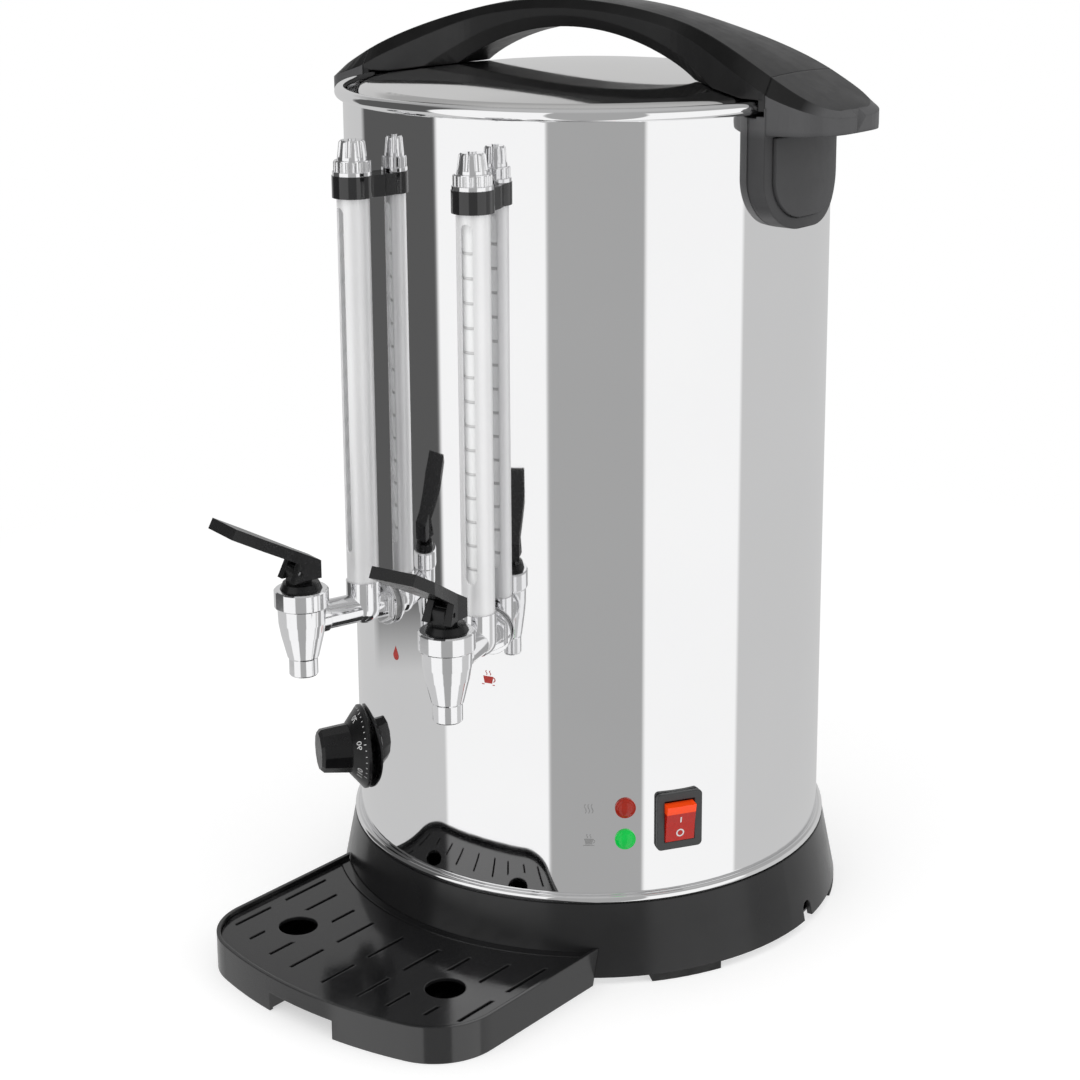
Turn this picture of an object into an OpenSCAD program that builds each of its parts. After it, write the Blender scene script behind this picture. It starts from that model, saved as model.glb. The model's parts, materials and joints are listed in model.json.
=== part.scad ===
/* [Body] */
// Outside diameter of the polished outer shell
body_d = 270; // [200:1:400]
// Height of the rim above the floor
rim_h = 470; // [400:1:600]
// Thickness of the shell sheet
shell_wall = 1; // [0.6:0.1:2]
// Radius of the rolled bead round the rim
rim_bead_r = 3.5; // [2.5:0.1:5]
// Radius of the rolled bead at the foot of the shell
foot_bead_r = 2.1; // [1.5:0.1:3]
// Width of the air gap between shell and tank
tank_gap = 7; // [4:0.5:14]
// Thickness of the tank sheet
tank_wall = 1; // [0.6:0.1:2]
// Height of the tank floor above the floor
tank_floor_h = 160; // [140:1:175]
// Radius of the rounded corner at the tank floor
tank_corner_r = 14; // [8:1:22]
// Depth of the tank flange below the rim
tank_flange_drop = 10; // [8:0.5:14]
// Thickness of the wall between the two chambers
divider_wall = 1.2; // [0.8:0.1:3]
// Distance from the tank flange down to the top of the dividing wall
divider_drop = 24; // [12:1:60]

/* [Base] */
// Height of the base, which is where the shell starts
base_h = 43; // [36:1:48]
// Outside radius of the base skirt beyond the shell, at the bottom
base_flare = 11.4; // [7:0.1:18]
// Outside radius of the base skirt beyond the shell, at the top
base_top_flare = 4.6; // [4:0.1:7]
// Wall of the base skirt
base_wall = 3; // [2:0.1:4]
// Height of each foot pad
foot_h = 4; // [3:0.1:6]
// Angle that each foot pad spans
foot_span = 16; // [10:1:24]
// Radial depth of each foot pad
foot_depth = 10; // [6:0.5:12]
// Number of foot pads
foot_count = 6; // [4:1:8]
// Width of the vent notch in the skirt
notch_w = 9; // [6:0.5:14]
// Height of the vent notch in the skirt
notch_h = 10; // [7:0.5:14]
// Angle of the vent notch from the front
notch_angle = 97; // [80:1:120]
// Thickness of the bottom plate
bottom_plate_t = 1.2; // [0.8:0.1:3]

/* [Drip tray] */
// Reach of the tray front beyond the body
tray_out = 107.5; // [90:0.5:135]
// Width of the tray
tray_w = 187; // [180:1:200]
// Height of the tray edge
tray_h = 20; // [18:0.5:24]
// Radius of the two front corners
tray_corner_r = 37; // [25:1:42]
// Wall of the tray
tray_wall = 2.2; // [1.6:0.1:3]
// Thickness of the tray floor
tray_floor_t = 2; // [1.5:0.1:3]
// Width of the finger notch at the front
finger_w = 46; // [30:1:70]
// Height of the finger notch
finger_h = 10.5; // [8:0.5:12]
// Depth of the finger notch
finger_depth = 22; // [14:1:30]
// Thickness of the grid plate
grid_t = 2; // [1.5:0.1:3]
// Depth of the grid plate below the tray edge
grid_drop = 2.6; // [1.5:0.1:3.5]
// Distance from the body to the grid plate's back edge
grid_gap = 14.5; // [14:0.5:21]
// Diameter of each drip hole
drip_hole_d = 21.5; // [16:0.5:26]
// Width of the drain slots
slot_w = 2; // [1.2:0.1:3]
// Clear radius that the slots keep round each drip hole
slot_clear_r = 18.7; // [16:0.1:24]
// Distances of the slot columns from the middle
slot_columns = [0, 24.5, 43.3, 64.4, 82.3];

/* [Taps] */
// Angle of each tap from the front
tap_angle = 16.1; // [14:0.1:20]
// Distance from the gauge to the tap
tap_arm = 38; // [34:0.5:50]
// Height of the outlet pipes above the tank's rounded corner
outlet_rise = 20; // [18:0.5:45]
// Outside radius of the outlet pipe
pipe_r = 8; // [7.5:0.1:9]
// Bore radius of the outlet pipe
pipe_bore_r = 5; // [4:0.1:6]
// Radius of the threaded stretch through the walls
thread_r = 7; // [6.5:0.1:7.4]
// Radius of the collar at the top of the tap
tap_collar_r = 14.7; // [13:0.1:17]
// Height of that collar
tap_collar_h = 10; // [8:0.5:13]
// Radius of the tap body just below the collar
tap_shoulder_r = 13; // [12:0.1:14.4]
// Radius of the spout
spout_r = 7.8; // [7:0.1:9]
// Bore radius of the spout
spout_bore_r = 5.4; // [4.5:0.1:6]
// Length of the spout below the tap body
spout_l = 9.5; // [7:0.5:14]
// Height of the tap top above the pipe
tap_rise = 18; // [16:0.5:22]
// Depth of the spout end below the pipe
tap_fall = 30.5; // [28:0.5:40]
// Angle that the tap lever tips down
lever_travel = 26; // [15:1:30]
// Distance from the spout axis to the lever pivot
pivot_offset = 4.5; // [4:0.1:5]
// Height of the lever pivot above the tap top
pivot_rise = 10.5; // [9.5:0.1:11.5]
// Width of the lever head
lever_head_w = 14; // [13:0.5:17]
// Width of the lever paddle
lever_paddle_w = 26; // [18:0.5:30]
// Thickness of the lever paddle
lever_t = 6; // [4:0.5:8]
// Rise angle of the lever arm
lever_rise = 28.4; // [24:0.2:33]
// Length of the lever from the head's back edge to the paddle tip
lever_l = 60; // [52:1:80]
// Length of the full-width paddle
paddle_l = 18; // [10:1:26]
// Turn of the left lever about its tap
left_lever_turn = 1.5; // [-25:0.5:25]
// Turn of the right lever about its tap
right_lever_turn = -8.5; // [-25:0.5:25]
// Running gap on the pivot pin
pin_gap = 0.08; // [0.04:0.01:0.1]

/* [Sight gauges] */
// Distance from the body to the gauge axis
gauge_gap = 15; // [14:0.5:20]
// Outside radius of the steel guard tube
guard_r = 8.7; // [8:0.1:10]
// Wall of the guard tube
guard_wall = 1; // [0.8:0.1:1.5]
// Outside radius of the glass tube
glass_r = 5.5; // [4.5:0.1:6]
// Wall of the glass tube
glass_wall = 1.2; // [0.8:0.1:2]
// Width of the window slot
window_w = 6.6; // [5:0.1:8]
// Height of the socket's top edge above the pipe
guard_rise = 15.5; // [15:0.5:20]
// Distance from the rim down to the top of the guard tube
guard_drop = 38; // [30:1:60]
// Margin of the window slot below the clamp
window_top_margin = 5; // [3:0.5:20]
// Margin of the window slot above the socket
window_foot_margin = 17; // [8:0.5:30]
// Height of the black wall clamp
clamp_h = 11.5; // [8:0.5:16]
// Radius of the clamp eye
clamp_r = 11; // [10:0.1:13]
// Height of the ribbed ring nut
ring_nut_h = 8; // [6:0.5:10]
// Radius of the ribbed ring nut
ring_nut_r = 10.6; // [9.8:0.1:12]
// Height of the gauge cap
gauge_cap_h = 11; // [8:0.5:15]

/* [Controls] */
// Angle of the thermostat knob from the front
knob_angle = -34; // [-40:0.5:-30]
// Height of the thermostat knob
knob_h = 93; // [88:0.5:100]
// Radius of the numbered dial skirt
dial_r = 24; // [20:0.5:26]
// Radius of the knob grip
grip_r = 13.5; // [10:0.5:16]
// Height of the knob grip from the wall
grip_l = 27; // [20:0.5:32]
// Number of facets round the grip
grip_facets = 12; // [8:1:12]
// Angle that the knob turns
knob_travel = 270; // [180:5:300]
// Angle of the lamps from the front
lamp_angle = 46.8; // [44:0.2:48]
// Height of the upper lamp
lamp_high = 97; // [94:0.5:110]
// Height of the lower lamp
lamp_low = 79; // [70:0.5:80]
// Radius of the lamp lens
lamp_r = 5; // [4:0.1:6]
// Angle of the rocker switch from the front
switch_angle = 59.3; // [58.5:0.1:64]
// Height of the rocker switch
switch_h = 87.5; // [80:0.5:95]
// Width of the switch frame
switch_w = 26; // [24:0.5:28]
// Length of the switch frame
switch_l = 32; // [30:0.5:36]
// Angle that the rocker tips
rocker_travel = 18; // [10:1:20]

/* [Lid] */
// Gap between the lid and the shell
lid_gap = 6; // [4:0.1:6.4]
// Height of the lid's crown above the rim
lid_crown = 10.5; // [8:0.5:14]
// Radius of the lid dome
dome_r = 760; // [650:10:1000]
// Radius of the rounded lid shoulder
lid_shoulder_r = 8; // [5:0.5:10]
// Thickness of the lid sheet
lid_wall = 1; // [0.6:0.1:2]

/* [Handle] */
// Height of the arch top above the rim
arch_rise = 45.5; // [40:0.5:55]
// Height of the arch's top line above the rim at the seam
arch_end_rise = 12.3; // [11:0.1:15]
// Height of the grip opening's top above the rim
grip_rise = 30.3; // [26:0.5:34]
// Radius of the grip opening
opening_r = 156; // [150:1:170]
// Distance from the rim bead out to the seam between arch and wing
seam_out = 0.5; // [0.3:0.1:1.5]
// Length of each wing beyond the seam
wing_l = 36.5; // [30:0.5:45]
// Half width of the arch top at the middle
arch_w_mid = 15; // [12:0.5:18]
// Half width of the arch top at the wings
arch_w_wing = 28; // [24:0.5:30]
// Height of the rounding across the arch top
arch_crown = 1; // [0.6:0.1:2]
// Half width of the bracket pad
pad_half_w = 34; // [30:0.5:38]
// Radial depth of the bracket pad
pad_depth = 10; // [8:0.5:12]
// Distance from the rim down to the pad's lower edge
pad_drop = 67; // [55:1:80]
// Radius of the pad's rounded lower corners
pad_corner_r = 27; // [20:0.5:30]
// Height of the raised cover on the pad
cover_rise = 1.6; // [1:0.1:3]

/* [Hidden] */
$fn = 72;

// Clearances
slide_gap = 0.3;
seat_gap = 0.1;
fit_gap = 0.05;
cut = 1;

// Body
body_r = body_d / 2;
shell_in_r = body_r - shell_wall;
bead_z = rim_h - rim_bead_r;
bead_r_mid = body_r + 1;
tank_r = shell_in_r - tank_gap;
flange_z = rim_h - tank_flange_drop;
tank_in_r = tank_r - tank_wall;
divider_top = flange_z - divider_drop;

// Base
base_r_low = body_r + base_flare;
base_r_top = body_r + base_top_flare - 1;
ledge_t = 3;
ledge_w = 12;
ledge_r = shell_in_r - ledge_w;
plate_z = foot_h + 1.5;
tab_count = 4;
tab_w = 14;
tab_r = shell_in_r - 7;
screw_r = 2;
gland_r = 8;
gland_z = 24;
skirt_lean = atan2(base_r_low - base_r_top, base_h - foot_h);

// Drip tray
tray_reach = body_r + tray_out;
grid_back = body_r + grid_gap;
corner_x = tray_w / 2 - tray_corner_r;
corner_y = sqrt(pow(tray_reach - tray_corner_r, 2) - corner_x * corner_x);
corner_turn = atan2(corner_x, corner_y);
grid_top = tray_h - grid_drop;
grid_z = grid_top - grid_t;
grid_ledge = 2;
gauge_reach = body_r + gauge_gap;
tap_reach = gauge_reach + tap_arm;
drip_reach = tap_reach + 8.7;
drip_x = drip_reach * sin(tap_angle);
drip_y = -drip_reach * cos(tap_angle);
slot_outer_far = tray_reach - 17;
slot_outer_near = drip_reach + 4.3;
slot_inner_far = drip_reach - 6.2;
slot_inner_near = grid_back + 12.8;
tray_back_gap = slide_gap;

// Taps
pipe_h = tank_floor_h + tank_corner_r + outlet_rise;
tap_top = pipe_h + tap_rise;
spout_z = pipe_h - tap_fall;
neck_z = spout_z + spout_l;
step_z = tap_top - tap_collar_h;
seat_z = pipe_h - 12;
chamber_r = 9;
tap_wall_r = tap_reach - tap_shoulder_r + 1;
pivot_x = tap_reach + pivot_offset;
pivot_z = tap_top + pivot_rise;
pivot_pin_r = 1.3;
stem_r = 2;
cross_pin_r = 1.3;
neck_w = lever_head_w - 6.6;
neck_gap = 0.4;
neck_front = pivot_offset + 2.6;
disc_h = 3.5;
lever_back = -8.8;
lever_front_low = 9.2;
lever_front_high = 4.7;
lever_head_low = tap_top + 5.8;
lever_head_top = tap_top + 15.6;
lever_skin = 2.6;
paddle_start = lever_back + (lever_l - paddle_l) * cos(lever_rise);
lever_tip = lever_back + lever_l * cos(lever_rise);
gasket_t = 1.5;
tee_r = pipe_r + 1.4;
nut_t = gauge_gap - gasket_t - tee_r - slide_gap;
flange_t = nut_t / 3;
nut_r = 11.5;
washer_r = 12.5;
gasket_r = 11;
pipe_inner_x = tank_in_r - 12;

// Sight gauges
socket_top = pipe_h + guard_rise;
guard_z = socket_top - 4.5;
guard_top = rim_h - guard_drop;
guard_l = guard_top - guard_z;
clamp_z = guard_top - clamp_h - 1.5;
window_z0 = socket_top + window_foot_margin;
window_z1 = clamp_z - window_top_margin;
socket_r = guard_r + 0.7;
socket_in_r = guard_r + seat_gap;
glass_z = pipe_h + 8.5;
glass_top = guard_top + ring_nut_h - 3;
ring_nut_z = guard_top - 1.5;
cap_z = ring_nut_z + ring_nut_h;
cap_r = 8;
cap_top_r = 6.3;
cap_flutes = 8;

// Controls
wall_plate_gap = 0.8;
dial_h = 9;
dial_base = body_r + wall_plate_gap;
grip_base = dial_base + dial_h;
shaft_r = 3;
shaft_hole_r = 5;
thermostat_depth = 24;
thermostat_half = 16;
heat_r = tank_r - 28;
heat_t = 2.5;
element_inset = 20;
element_leg = 22;
probe_gap = 10;
switch_body_w = switch_w - 5;
switch_body_l = switch_l - 5;
bezel_t = 2.4;
rocker_r = 10.5;
rocker_w = switch_w - 9.4;
rocker_l = switch_l - 10.4;
switch_face = body_r + bezel_t;

// Lid
lid_top = rim_h + lid_crown;
lid_r = shell_in_r - lid_gap;
lid_foot = flange_z + slide_gap;
shoulder_in = lid_r - lid_shoulder_r;
shoulder_tilt = asin(shoulder_in / (dome_r - lid_shoulder_r));
shoulder_z = lid_top - dome_r + (dome_r - lid_shoulder_r) * cos(shoulder_tilt);

// Handle
arch_top = rim_h + arch_rise;
arch_half = bead_r_mid + rim_bead_r + seam_out;
arch_fall = arch_rise - arch_end_rise;
arch_r = (arch_half * arch_half + arch_fall * arch_fall) / (2 * arch_fall);
wing_tip = arch_half + wing_l;
leaf_start = arch_half / 2;
leaf_l = leaf_start + 5;
band_start = leaf_start - 10;
opening_top = rim_h + grip_rise;
side_r = opening_r + 16;
side_top = opening_top + 6.2;
arch_foot_z = rim_h + 0.6;
pad_bottom = rim_h - pad_drop;
pad_out_r = body_r + pad_depth;
pad_zone = rim_h - pad_bottom;
wing_x = arch_half + 3;
wing_under = rim_h - 17;
wing_under_tip = rim_h - 15.5;
bead_clear_z = rim_h - 2 * rim_bead_r - slide_gap;
bracket_x = arch_half + slide_gap;
edge_steps = 14;

// Turns its children so that local X points outward at an angle from the front
module radial(angle) {
  rotate([0, 0, angle - 90]) children();
}

// A bar along local X from one radius to another
module radial_rod(r, from_x, to_x, z) {
  translate([from_x, 0, z]) rotate([0, 90, 0]) cylinder(r = r, h = to_x - from_x);
}

// A closed skin through a list of rings with the same number of points
module skin(rings) {
  n = len(rings[0]);
  m = len(rings);
  points = [for (ring = rings) for (p = ring) p];
  sides = [
    for (i = [0 : m - 2])
      for (j = [0 : n - 1])
        let (a = i * n + j, b = i * n + (j + 1) % n)
          for (f = [[a, b, a + n], [b, b + n, a + n]]) f
  ];
  first = [for (j = [1 : n - 2]) [0, j + 1, j]];
  last = [for (j = [1 : n - 2]) [(m - 1) * n, (m - 1) * n + j, (m - 1) * n + j + 1]];
  polyhedron(points = points, faces = concat(sides, first, last));
}

// ---------------------------------------------------------------- body

module shell_profile() {
  translate([shell_in_r, base_h + foot_bead_r]) square([shell_wall, bead_z - base_h - foot_bead_r - rim_bead_r + 0.6]);
  translate([bead_r_mid, bead_z]) difference() {
    circle(r = rim_bead_r);
    circle(r = rim_bead_r - 0.8);
  }
  translate([body_r + foot_bead_r - 0.6, base_h + foot_bead_r]) circle(r = foot_bead_r);
  translate([shell_in_r, base_h]) square([foot_bead_r + 1, 1.2]);
}

module outer_shell() {
  color([0.82, 0.82, 0.84]) difference() {
    union() {
      rotate_extrude($fn = 144) shell_profile();
      for (i = [0 : tab_count - 1])
        rotate([0, 0, 45 + i * 360 / tab_count])
          translate([tab_r - tab_w / 2, -tab_w / 2, base_h])
            cube([shell_in_r - tab_r + tab_w / 2 + 0.4, tab_w, 1.2]);
    }
    for (side = [-1, 1])
      radial(side * tap_angle) radial_rod(thread_r + 0.4, tank_r, body_r + 5, pipe_h);
    radial(knob_angle) radial_rod(shaft_hole_r, tank_r, body_r + 5, knob_h);
    for (z = [lamp_low, lamp_high])
      radial(lamp_angle) radial_rod(lamp_r - 0.6, tank_r, body_r + 5, z);
    radial(switch_angle)
      translate([tank_r, -switch_body_w / 2 - 0.2, switch_h - switch_body_l / 2 - 0.2])
        cube([tank_gap + 10, switch_body_w + 0.4, switch_body_l + 0.4]);
    for (side = [-1, 1])
      for (z = bracket_screw_heights())
        radial(side * 90) radial_rod(2.7, tank_r, body_r + 5, z);
    for (i = [0 : tab_count - 1])
      rotate([0, 0, 45 + i * 360 / tab_count])
        translate([tab_r, 0, base_h - cut]) cylinder(r = screw_r + 0.2, h = 4);
  }
}

module tank_profile() {
  difference() {
    union() {
      translate([0, tank_floor_h]) square([tank_r - tank_corner_r, tank_wall]);
      translate([tank_in_r, tank_floor_h + tank_corner_r])
        square([tank_wall, flange_z - tank_floor_h - tank_corner_r]);
      translate([tank_in_r, flange_z - tank_wall]) square([shell_in_r - tank_in_r - seat_gap, tank_wall]);
      intersection() {
        translate([tank_r - tank_corner_r, tank_floor_h + tank_corner_r]) difference() {
          circle(r = tank_corner_r);
          circle(r = tank_corner_r - tank_wall);
        }
        translate([tank_r - tank_corner_r, tank_floor_h]) square(tank_corner_r);
      }
    }
  }
}

module inner_tank() {
  color([0.75, 0.75, 0.77]) difference() {
    rotate_extrude($fn = 144) tank_profile();
    for (side = [-1, 1])
      radial(side * tap_angle) radial_rod(thread_r + 0.4, tank_r - 20, shell_in_r, pipe_h);
  }
}

module tank_divider() {
  plate_r = tank_in_r - seat_gap;
  floor_z = tank_floor_h + tank_wall;
  color([0.72, 0.72, 0.74]) difference() {
    union() {
      translate([-divider_wall / 2, -plate_r, floor_z]) cube([divider_wall, 2 * plate_r, divider_top - floor_z]);
      translate([-8, -plate_r + tank_corner_r, floor_z]) cube([16, 2 * (plate_r - tank_corner_r), divider_wall]);
    }
    for (side = [-1, 1])
      translate([0, side * (plate_r - tank_corner_r), floor_z - cut]) rotate([0, 90, 0])
        linear_extrude(height = 30, center = true) corner_relief(side);
  }
}

// The part outside the tank's rounded floor corner, seen along X
module corner_relief(side) {
  r = tank_corner_r - tank_wall;
  difference() {
    translate([-r - cut, side > 0 ? 0 : -r - cut]) square([r + 2 * cut, r + cut]);
    translate([-r - cut, 0]) circle(r = r);
  }
}

// ---------------------------------------------------------------- base

function skirt_r(z) = base_r_low + (base_r_top - base_r_low) * (z - foot_h) / (base_h - foot_h);

module skirt_solid(inset, z0, z1) {
  translate([0, 0, z0])
    cylinder(r1 = skirt_r(z0) - inset, r2 = skirt_r(z1) - inset, h = z1 - z0, $fn = 144);
}

module base_skirt() {
  color([0.06, 0.06, 0.065]) difference() {
    union() {
      difference() {
        skirt_solid(0, foot_h, base_h);
        skirt_solid(base_wall, foot_h - cut, base_h - ledge_t);
        translate([0, 0, base_h - ledge_t - cut]) cylinder(r = ledge_r, h = ledge_t + 2 * cut, $fn = 144);
      }
      for (i = [0 : foot_count - 1])
        rotate([0, 0, i * 360 / foot_count]) base_boss();
    }
    radial(notch_angle) notch_cut();
    on_skirt(180, gland_z) translate([0, 0, -12]) cylinder(r = gland_r - 1.6, h = 20);
    for (i = [0 : tab_count - 1])
      rotate([0, 0, 45 + i * 360 / tab_count])
        translate([tab_r, 0, base_h - ledge_t - cut]) cylinder(r = screw_r + 0.2, h = 8);
  }
}

// A screw boss inside the skirt that the bottom plate is fixed to
module base_boss() {
  boss_x = base_r_low - base_wall - 7;
  difference() {
    union() {
      translate([boss_x, 0, plate_z + bottom_plate_t]) cylinder(r = 4.5, h = 14);
      translate([boss_x, -1.5, plate_z + bottom_plate_t]) cube([6.5, 3, 14]);
    }
    translate([boss_x, 0, plate_z]) cylinder(r = 1.4, h = 12);
  }
}

// Turns its children so that local Z is square to the sloping skirt
module on_skirt(angle, z) {
  radial(angle) translate([skirt_r(z), 0, z]) rotate([0, 90 - skirt_lean, 0]) children();
}

module notch_cut() {
  translate([body_r - 4, 0, foot_h - cut]) rotate([90, 0, 90]) linear_extrude(height = 30) {
    translate([-notch_w / 2, 0]) square([notch_w, notch_h - notch_w / 2 + cut]);
    translate([0, notch_h - notch_w / 2 + cut]) circle(d = notch_w);
  }
}

module bottom_plate() {
  plate_r = base_r_low - base_wall - 1;
  boss_x = base_r_low - base_wall - 7;
  color([0.6, 0.6, 0.62]) difference() {
    translate([0, 0, plate_z]) cylinder(r = plate_r, h = bottom_plate_t, $fn = 144);
    for (i = [0 : foot_count - 1])
      rotate([0, 0, i * 360 / foot_count])
        translate([boss_x, 0, plate_z - cut]) cylinder(r = screw_r, h = 4);
    for (i = [-4 : 4])
      translate([i * 14 - 1.5, 40, plate_z - cut]) cube([3, 40, 4]);
  }
}

module foot_pads() {
  color([0.05, 0.05, 0.05])
    for (i = [0 : foot_count - 1])
      rotate([0, 0, i * 360 / foot_count - 90 - foot_span / 2])
        rotate_extrude(angle = foot_span, $fn = 144)
          translate([base_r_low - foot_depth, 0]) square([foot_depth, foot_h]);
}

module base_screws() {
  boss_x = base_r_low - base_wall - 7;
  color([0.7, 0.7, 0.72]) {
    for (i = [0 : foot_count - 1])
      rotate([0, 0, i * 360 / foot_count])
        translate([boss_x, 0, plate_z]) {
          translate([0, 0, -1.4]) cylinder(r = 3, h = 1.4);
          cylinder(r = 1.3, h = 10);
        }
    for (i = [0 : tab_count - 1])
      rotate([0, 0, 45 + i * 360 / tab_count])
        translate([tab_r, 0, base_h - ledge_t]) {
          translate([0, 0, -2]) cylinder(r = 3.6, h = 2);
          cylinder(r = screw_r, h = 9);
          translate([0, 0, ledge_t + 1.2]) cylinder(r = 3.9, h = 3, $fn = 6);
        }
  }
}

// ---------------------------------------------------------------- drip tray

module tray_outline(inset) {
  half = tray_w / 2 - inset;
  reach = tray_reach - inset;
  translate([-half, -corner_y]) square([2 * half, corner_y - 60]);
  for (side = [-1, 1])
    translate([side * corner_x, -corner_y]) circle(r = tray_corner_r - inset);
  intersection() {
    circle(r = reach, $fn = 180);
    polygon([
      [0, 0],
      [-2 * tray_reach * sin(corner_turn), -2 * tray_reach * cos(corner_turn)],
      [2 * tray_reach * sin(corner_turn), -2 * tray_reach * cos(corner_turn)]
    ]);
  }
}

module tray_prism(inset, z0, z1) {
  translate([0, 0, z0]) linear_extrude(height = z1 - z0) tray_outline(inset);
}

module tray_back(extra, z0, z1) {
  translate([0, 0, z0]) cylinder(
    r1 = skirt_r(z0) + tray_back_gap + extra,
    r2 = skirt_r(z1) + tray_back_gap + extra,
    h = z1 - z0,
    $fn = 144
  );
}

module drip_tray() {
  floor_z = 1;
  floor_top = floor_z + tray_floor_t;
  color([0.055, 0.055, 0.06]) difference() {
    union() {
      difference() {
        tray_prism(0, 0, tray_h);
        tray_prism(tray_wall + grid_ledge, floor_top, grid_z);
        tray_prism(tray_wall, grid_z, tray_h + cut);
        tray_prism(tray_wall, -cut, floor_z);
      }
      intersection() {
        tray_prism(0, floor_z, tray_h);
        back_deck();
      }
      intersection() {
        tray_prism(0, 0, tray_h);
        translate([-finger_w / 2 - tray_wall, -tray_reach - cut, floor_z])
          cube([finger_w + 2 * tray_wall, finger_depth + 2 * tray_wall + cut, finger_h + 1.6 - floor_z]);
      }
    }
    tray_back(0, -cut, tray_h + cut);
    translate([-finger_w / 2, -tray_reach - cut, -cut]) cube([finger_w, finger_depth + cut, finger_h + cut]);
  }
}

// The raised deck between the grid and the base skirt
module back_deck() {
  difference() {
    union() {
      cylinder(r = grid_back - slide_gap, h = grid_top + 0.4, $fn = 144);
      cylinder(r = grid_back + grid_ledge, h = grid_z, $fn = 144);
    }
    translate([0, 0, -cut]) cylinder(r = body_r, h = tray_h + 2 * cut, $fn = 144);
  }
}

module ring_2d(near, far) {
  difference() {
    circle(r = far, $fn = 180);
    circle(r = near, $fn = 180);
  }
}

module slot_bars() {
  for (column = slot_columns)
    for (side = [-1, 1])
      translate([side * column - slot_w / 2, -tray_reach]) square([slot_w, tray_reach]);
}

module tray_grid() {
  color([0.05, 0.05, 0.055]) translate([0, 0, grid_z]) linear_extrude(height = grid_t) difference() {
    tray_outline(tray_wall + slide_gap);
    circle(r = grid_back, $fn = 144);
    for (side = [-1, 1])
      translate([side * drip_x, drip_y]) circle(d = drip_hole_d);
    difference() {
      intersection() {
        slot_bars();
        union() {
          ring_2d(slot_outer_near, slot_outer_far);
          ring_2d(slot_inner_near, slot_inner_far);
        }
      }
      for (side = [-1, 1])
        translate([side * drip_x, drip_y]) circle(r = slot_clear_r);
    }
  }
}

// ---------------------------------------------------------------- lid

module dome_2d(inset) {
  intersection() {
    translate([0, lid_top - dome_r]) circle(r = dome_r - inset, $fn = 720);
    translate([0, lid_foot - cut]) square([(dome_r - inset) * sin(shoulder_tilt), 60]);
  }
  intersection() {
    translate([shoulder_in, shoulder_z]) circle(r = lid_shoulder_r - inset);
    translate([0, lid_foot - cut]) square([lid_r, 60]);
  }
  translate([0, lid_foot - cut]) square([lid_r - inset, shoulder_z - lid_foot + cut]);
}

module lid() {
  color([0.8, 0.8, 0.82]) difference() {
    rotate_extrude($fn = 144) intersection() {
      difference() {
        dome_2d(0);
        dome_2d(lid_wall);
      }
      translate([0, lid_foot]) square([lid_r + 1, 60]);
    }
    for (x = lid_screw_places())
      translate([x, 0, rim_h - 20]) cylinder(r = 2.3, h = 40);
  }
}

function dome_z(x) = lid_top - dome_r + sqrt(dome_r * dome_r - x * x);
function lid_screw_places() = [for (side = [-1, 1]) for (inset = [16, 30]) side * (lid_r - inset)];

module lid_screws() {
  color([0.7, 0.7, 0.72])
    for (x = lid_screw_places())
      translate([x, 0, dome_z(x) - lid_wall - 1.9]) {
        translate([0, 0, -2.4]) cylinder(r = 4, h = 2.4);
        translate([0, 0, -0.2]) cylinder(r = 5.5, h = 1.2);
        cylinder(r = 2, h = 10);
      }
}

// ---------------------------------------------------------------- handle

function smooth(t) = let (u = min(max(t, 0), 1)) u * u * (3 - 2 * u);
function arc_drop(r, x) = r - sqrt(r * r - x * x);
function arch_z(x) = arch_top - arc_drop(arch_r, x);
function leaf_w(x) = arch_w_mid + (arch_w_wing - arch_w_mid) * smooth((x - leaf_start) / leaf_l);
function band_out(x) = 3 + 2.5 * smooth((x - band_start) / leaf_start);
function band_drop(x) = 5 + 3.5 * smooth((x - band_start) / band_start);

function foot_line(x) = x < shoulder_in + 4 ? max(dome_z(x) + seat_gap, arch_foot_z) : arch_foot_z;
function under_z(x) = x < opening_r ? max(opening_top - arc_drop(opening_r, x), foot_line(x)) : foot_line(x);
function side_z(x) = x < side_r ? max(side_top - arc_drop(side_r, x), under_z(x) + 0.4) : under_z(x) + 0.4;

// One cross-section of the lid arch at a signed distance from the middle
function arch_ring(s) =
  let (
    x = abs(s),
    w = leaf_w(x),
    side = w + band_out(x),
    top = arch_z(x),
    band = top - band_drop(x),
    low = min(side_z(x), band - 0.5),
    flat = side - 5 * (1 - smooth((x - 1.2 * leaf_start) / 24)) - 1
  )
  [
    [s, -flat, under_z(x)],
    [s, -side + 0.4, low],
    [s, -side, band],
    [s, -w, top],
    [s, -0.7 * w, top + 0.51 * arch_crown],
    [s, -0.35 * w, top + 0.88 * arch_crown],
    [s, 0, top + arch_crown],
    [s, 0.35 * w, top + 0.88 * arch_crown],
    [s, 0.7 * w, top + 0.51 * arch_crown],
    [s, w, top],
    [s, side, band],
    [s, side - 0.4, low],
    [s, flat, under_z(x)]
  ];

arch_stations = [for (i = [-32 : 32]) arch_half * i / 32];

module lid_handle() {
  color([0.11, 0.11, 0.115]) difference() {
    union() {
      skin([for (s = arch_stations) arch_ring(s)]);
      for (side = [-1, 1])
        arch_prongs(side);
    }
    for (x = lid_screw_places())
      translate([x, 0, rim_h - 20]) cylinder(r = 2.1, h = 20 + dome_z(x) - rim_h + 9);
  }
}

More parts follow.
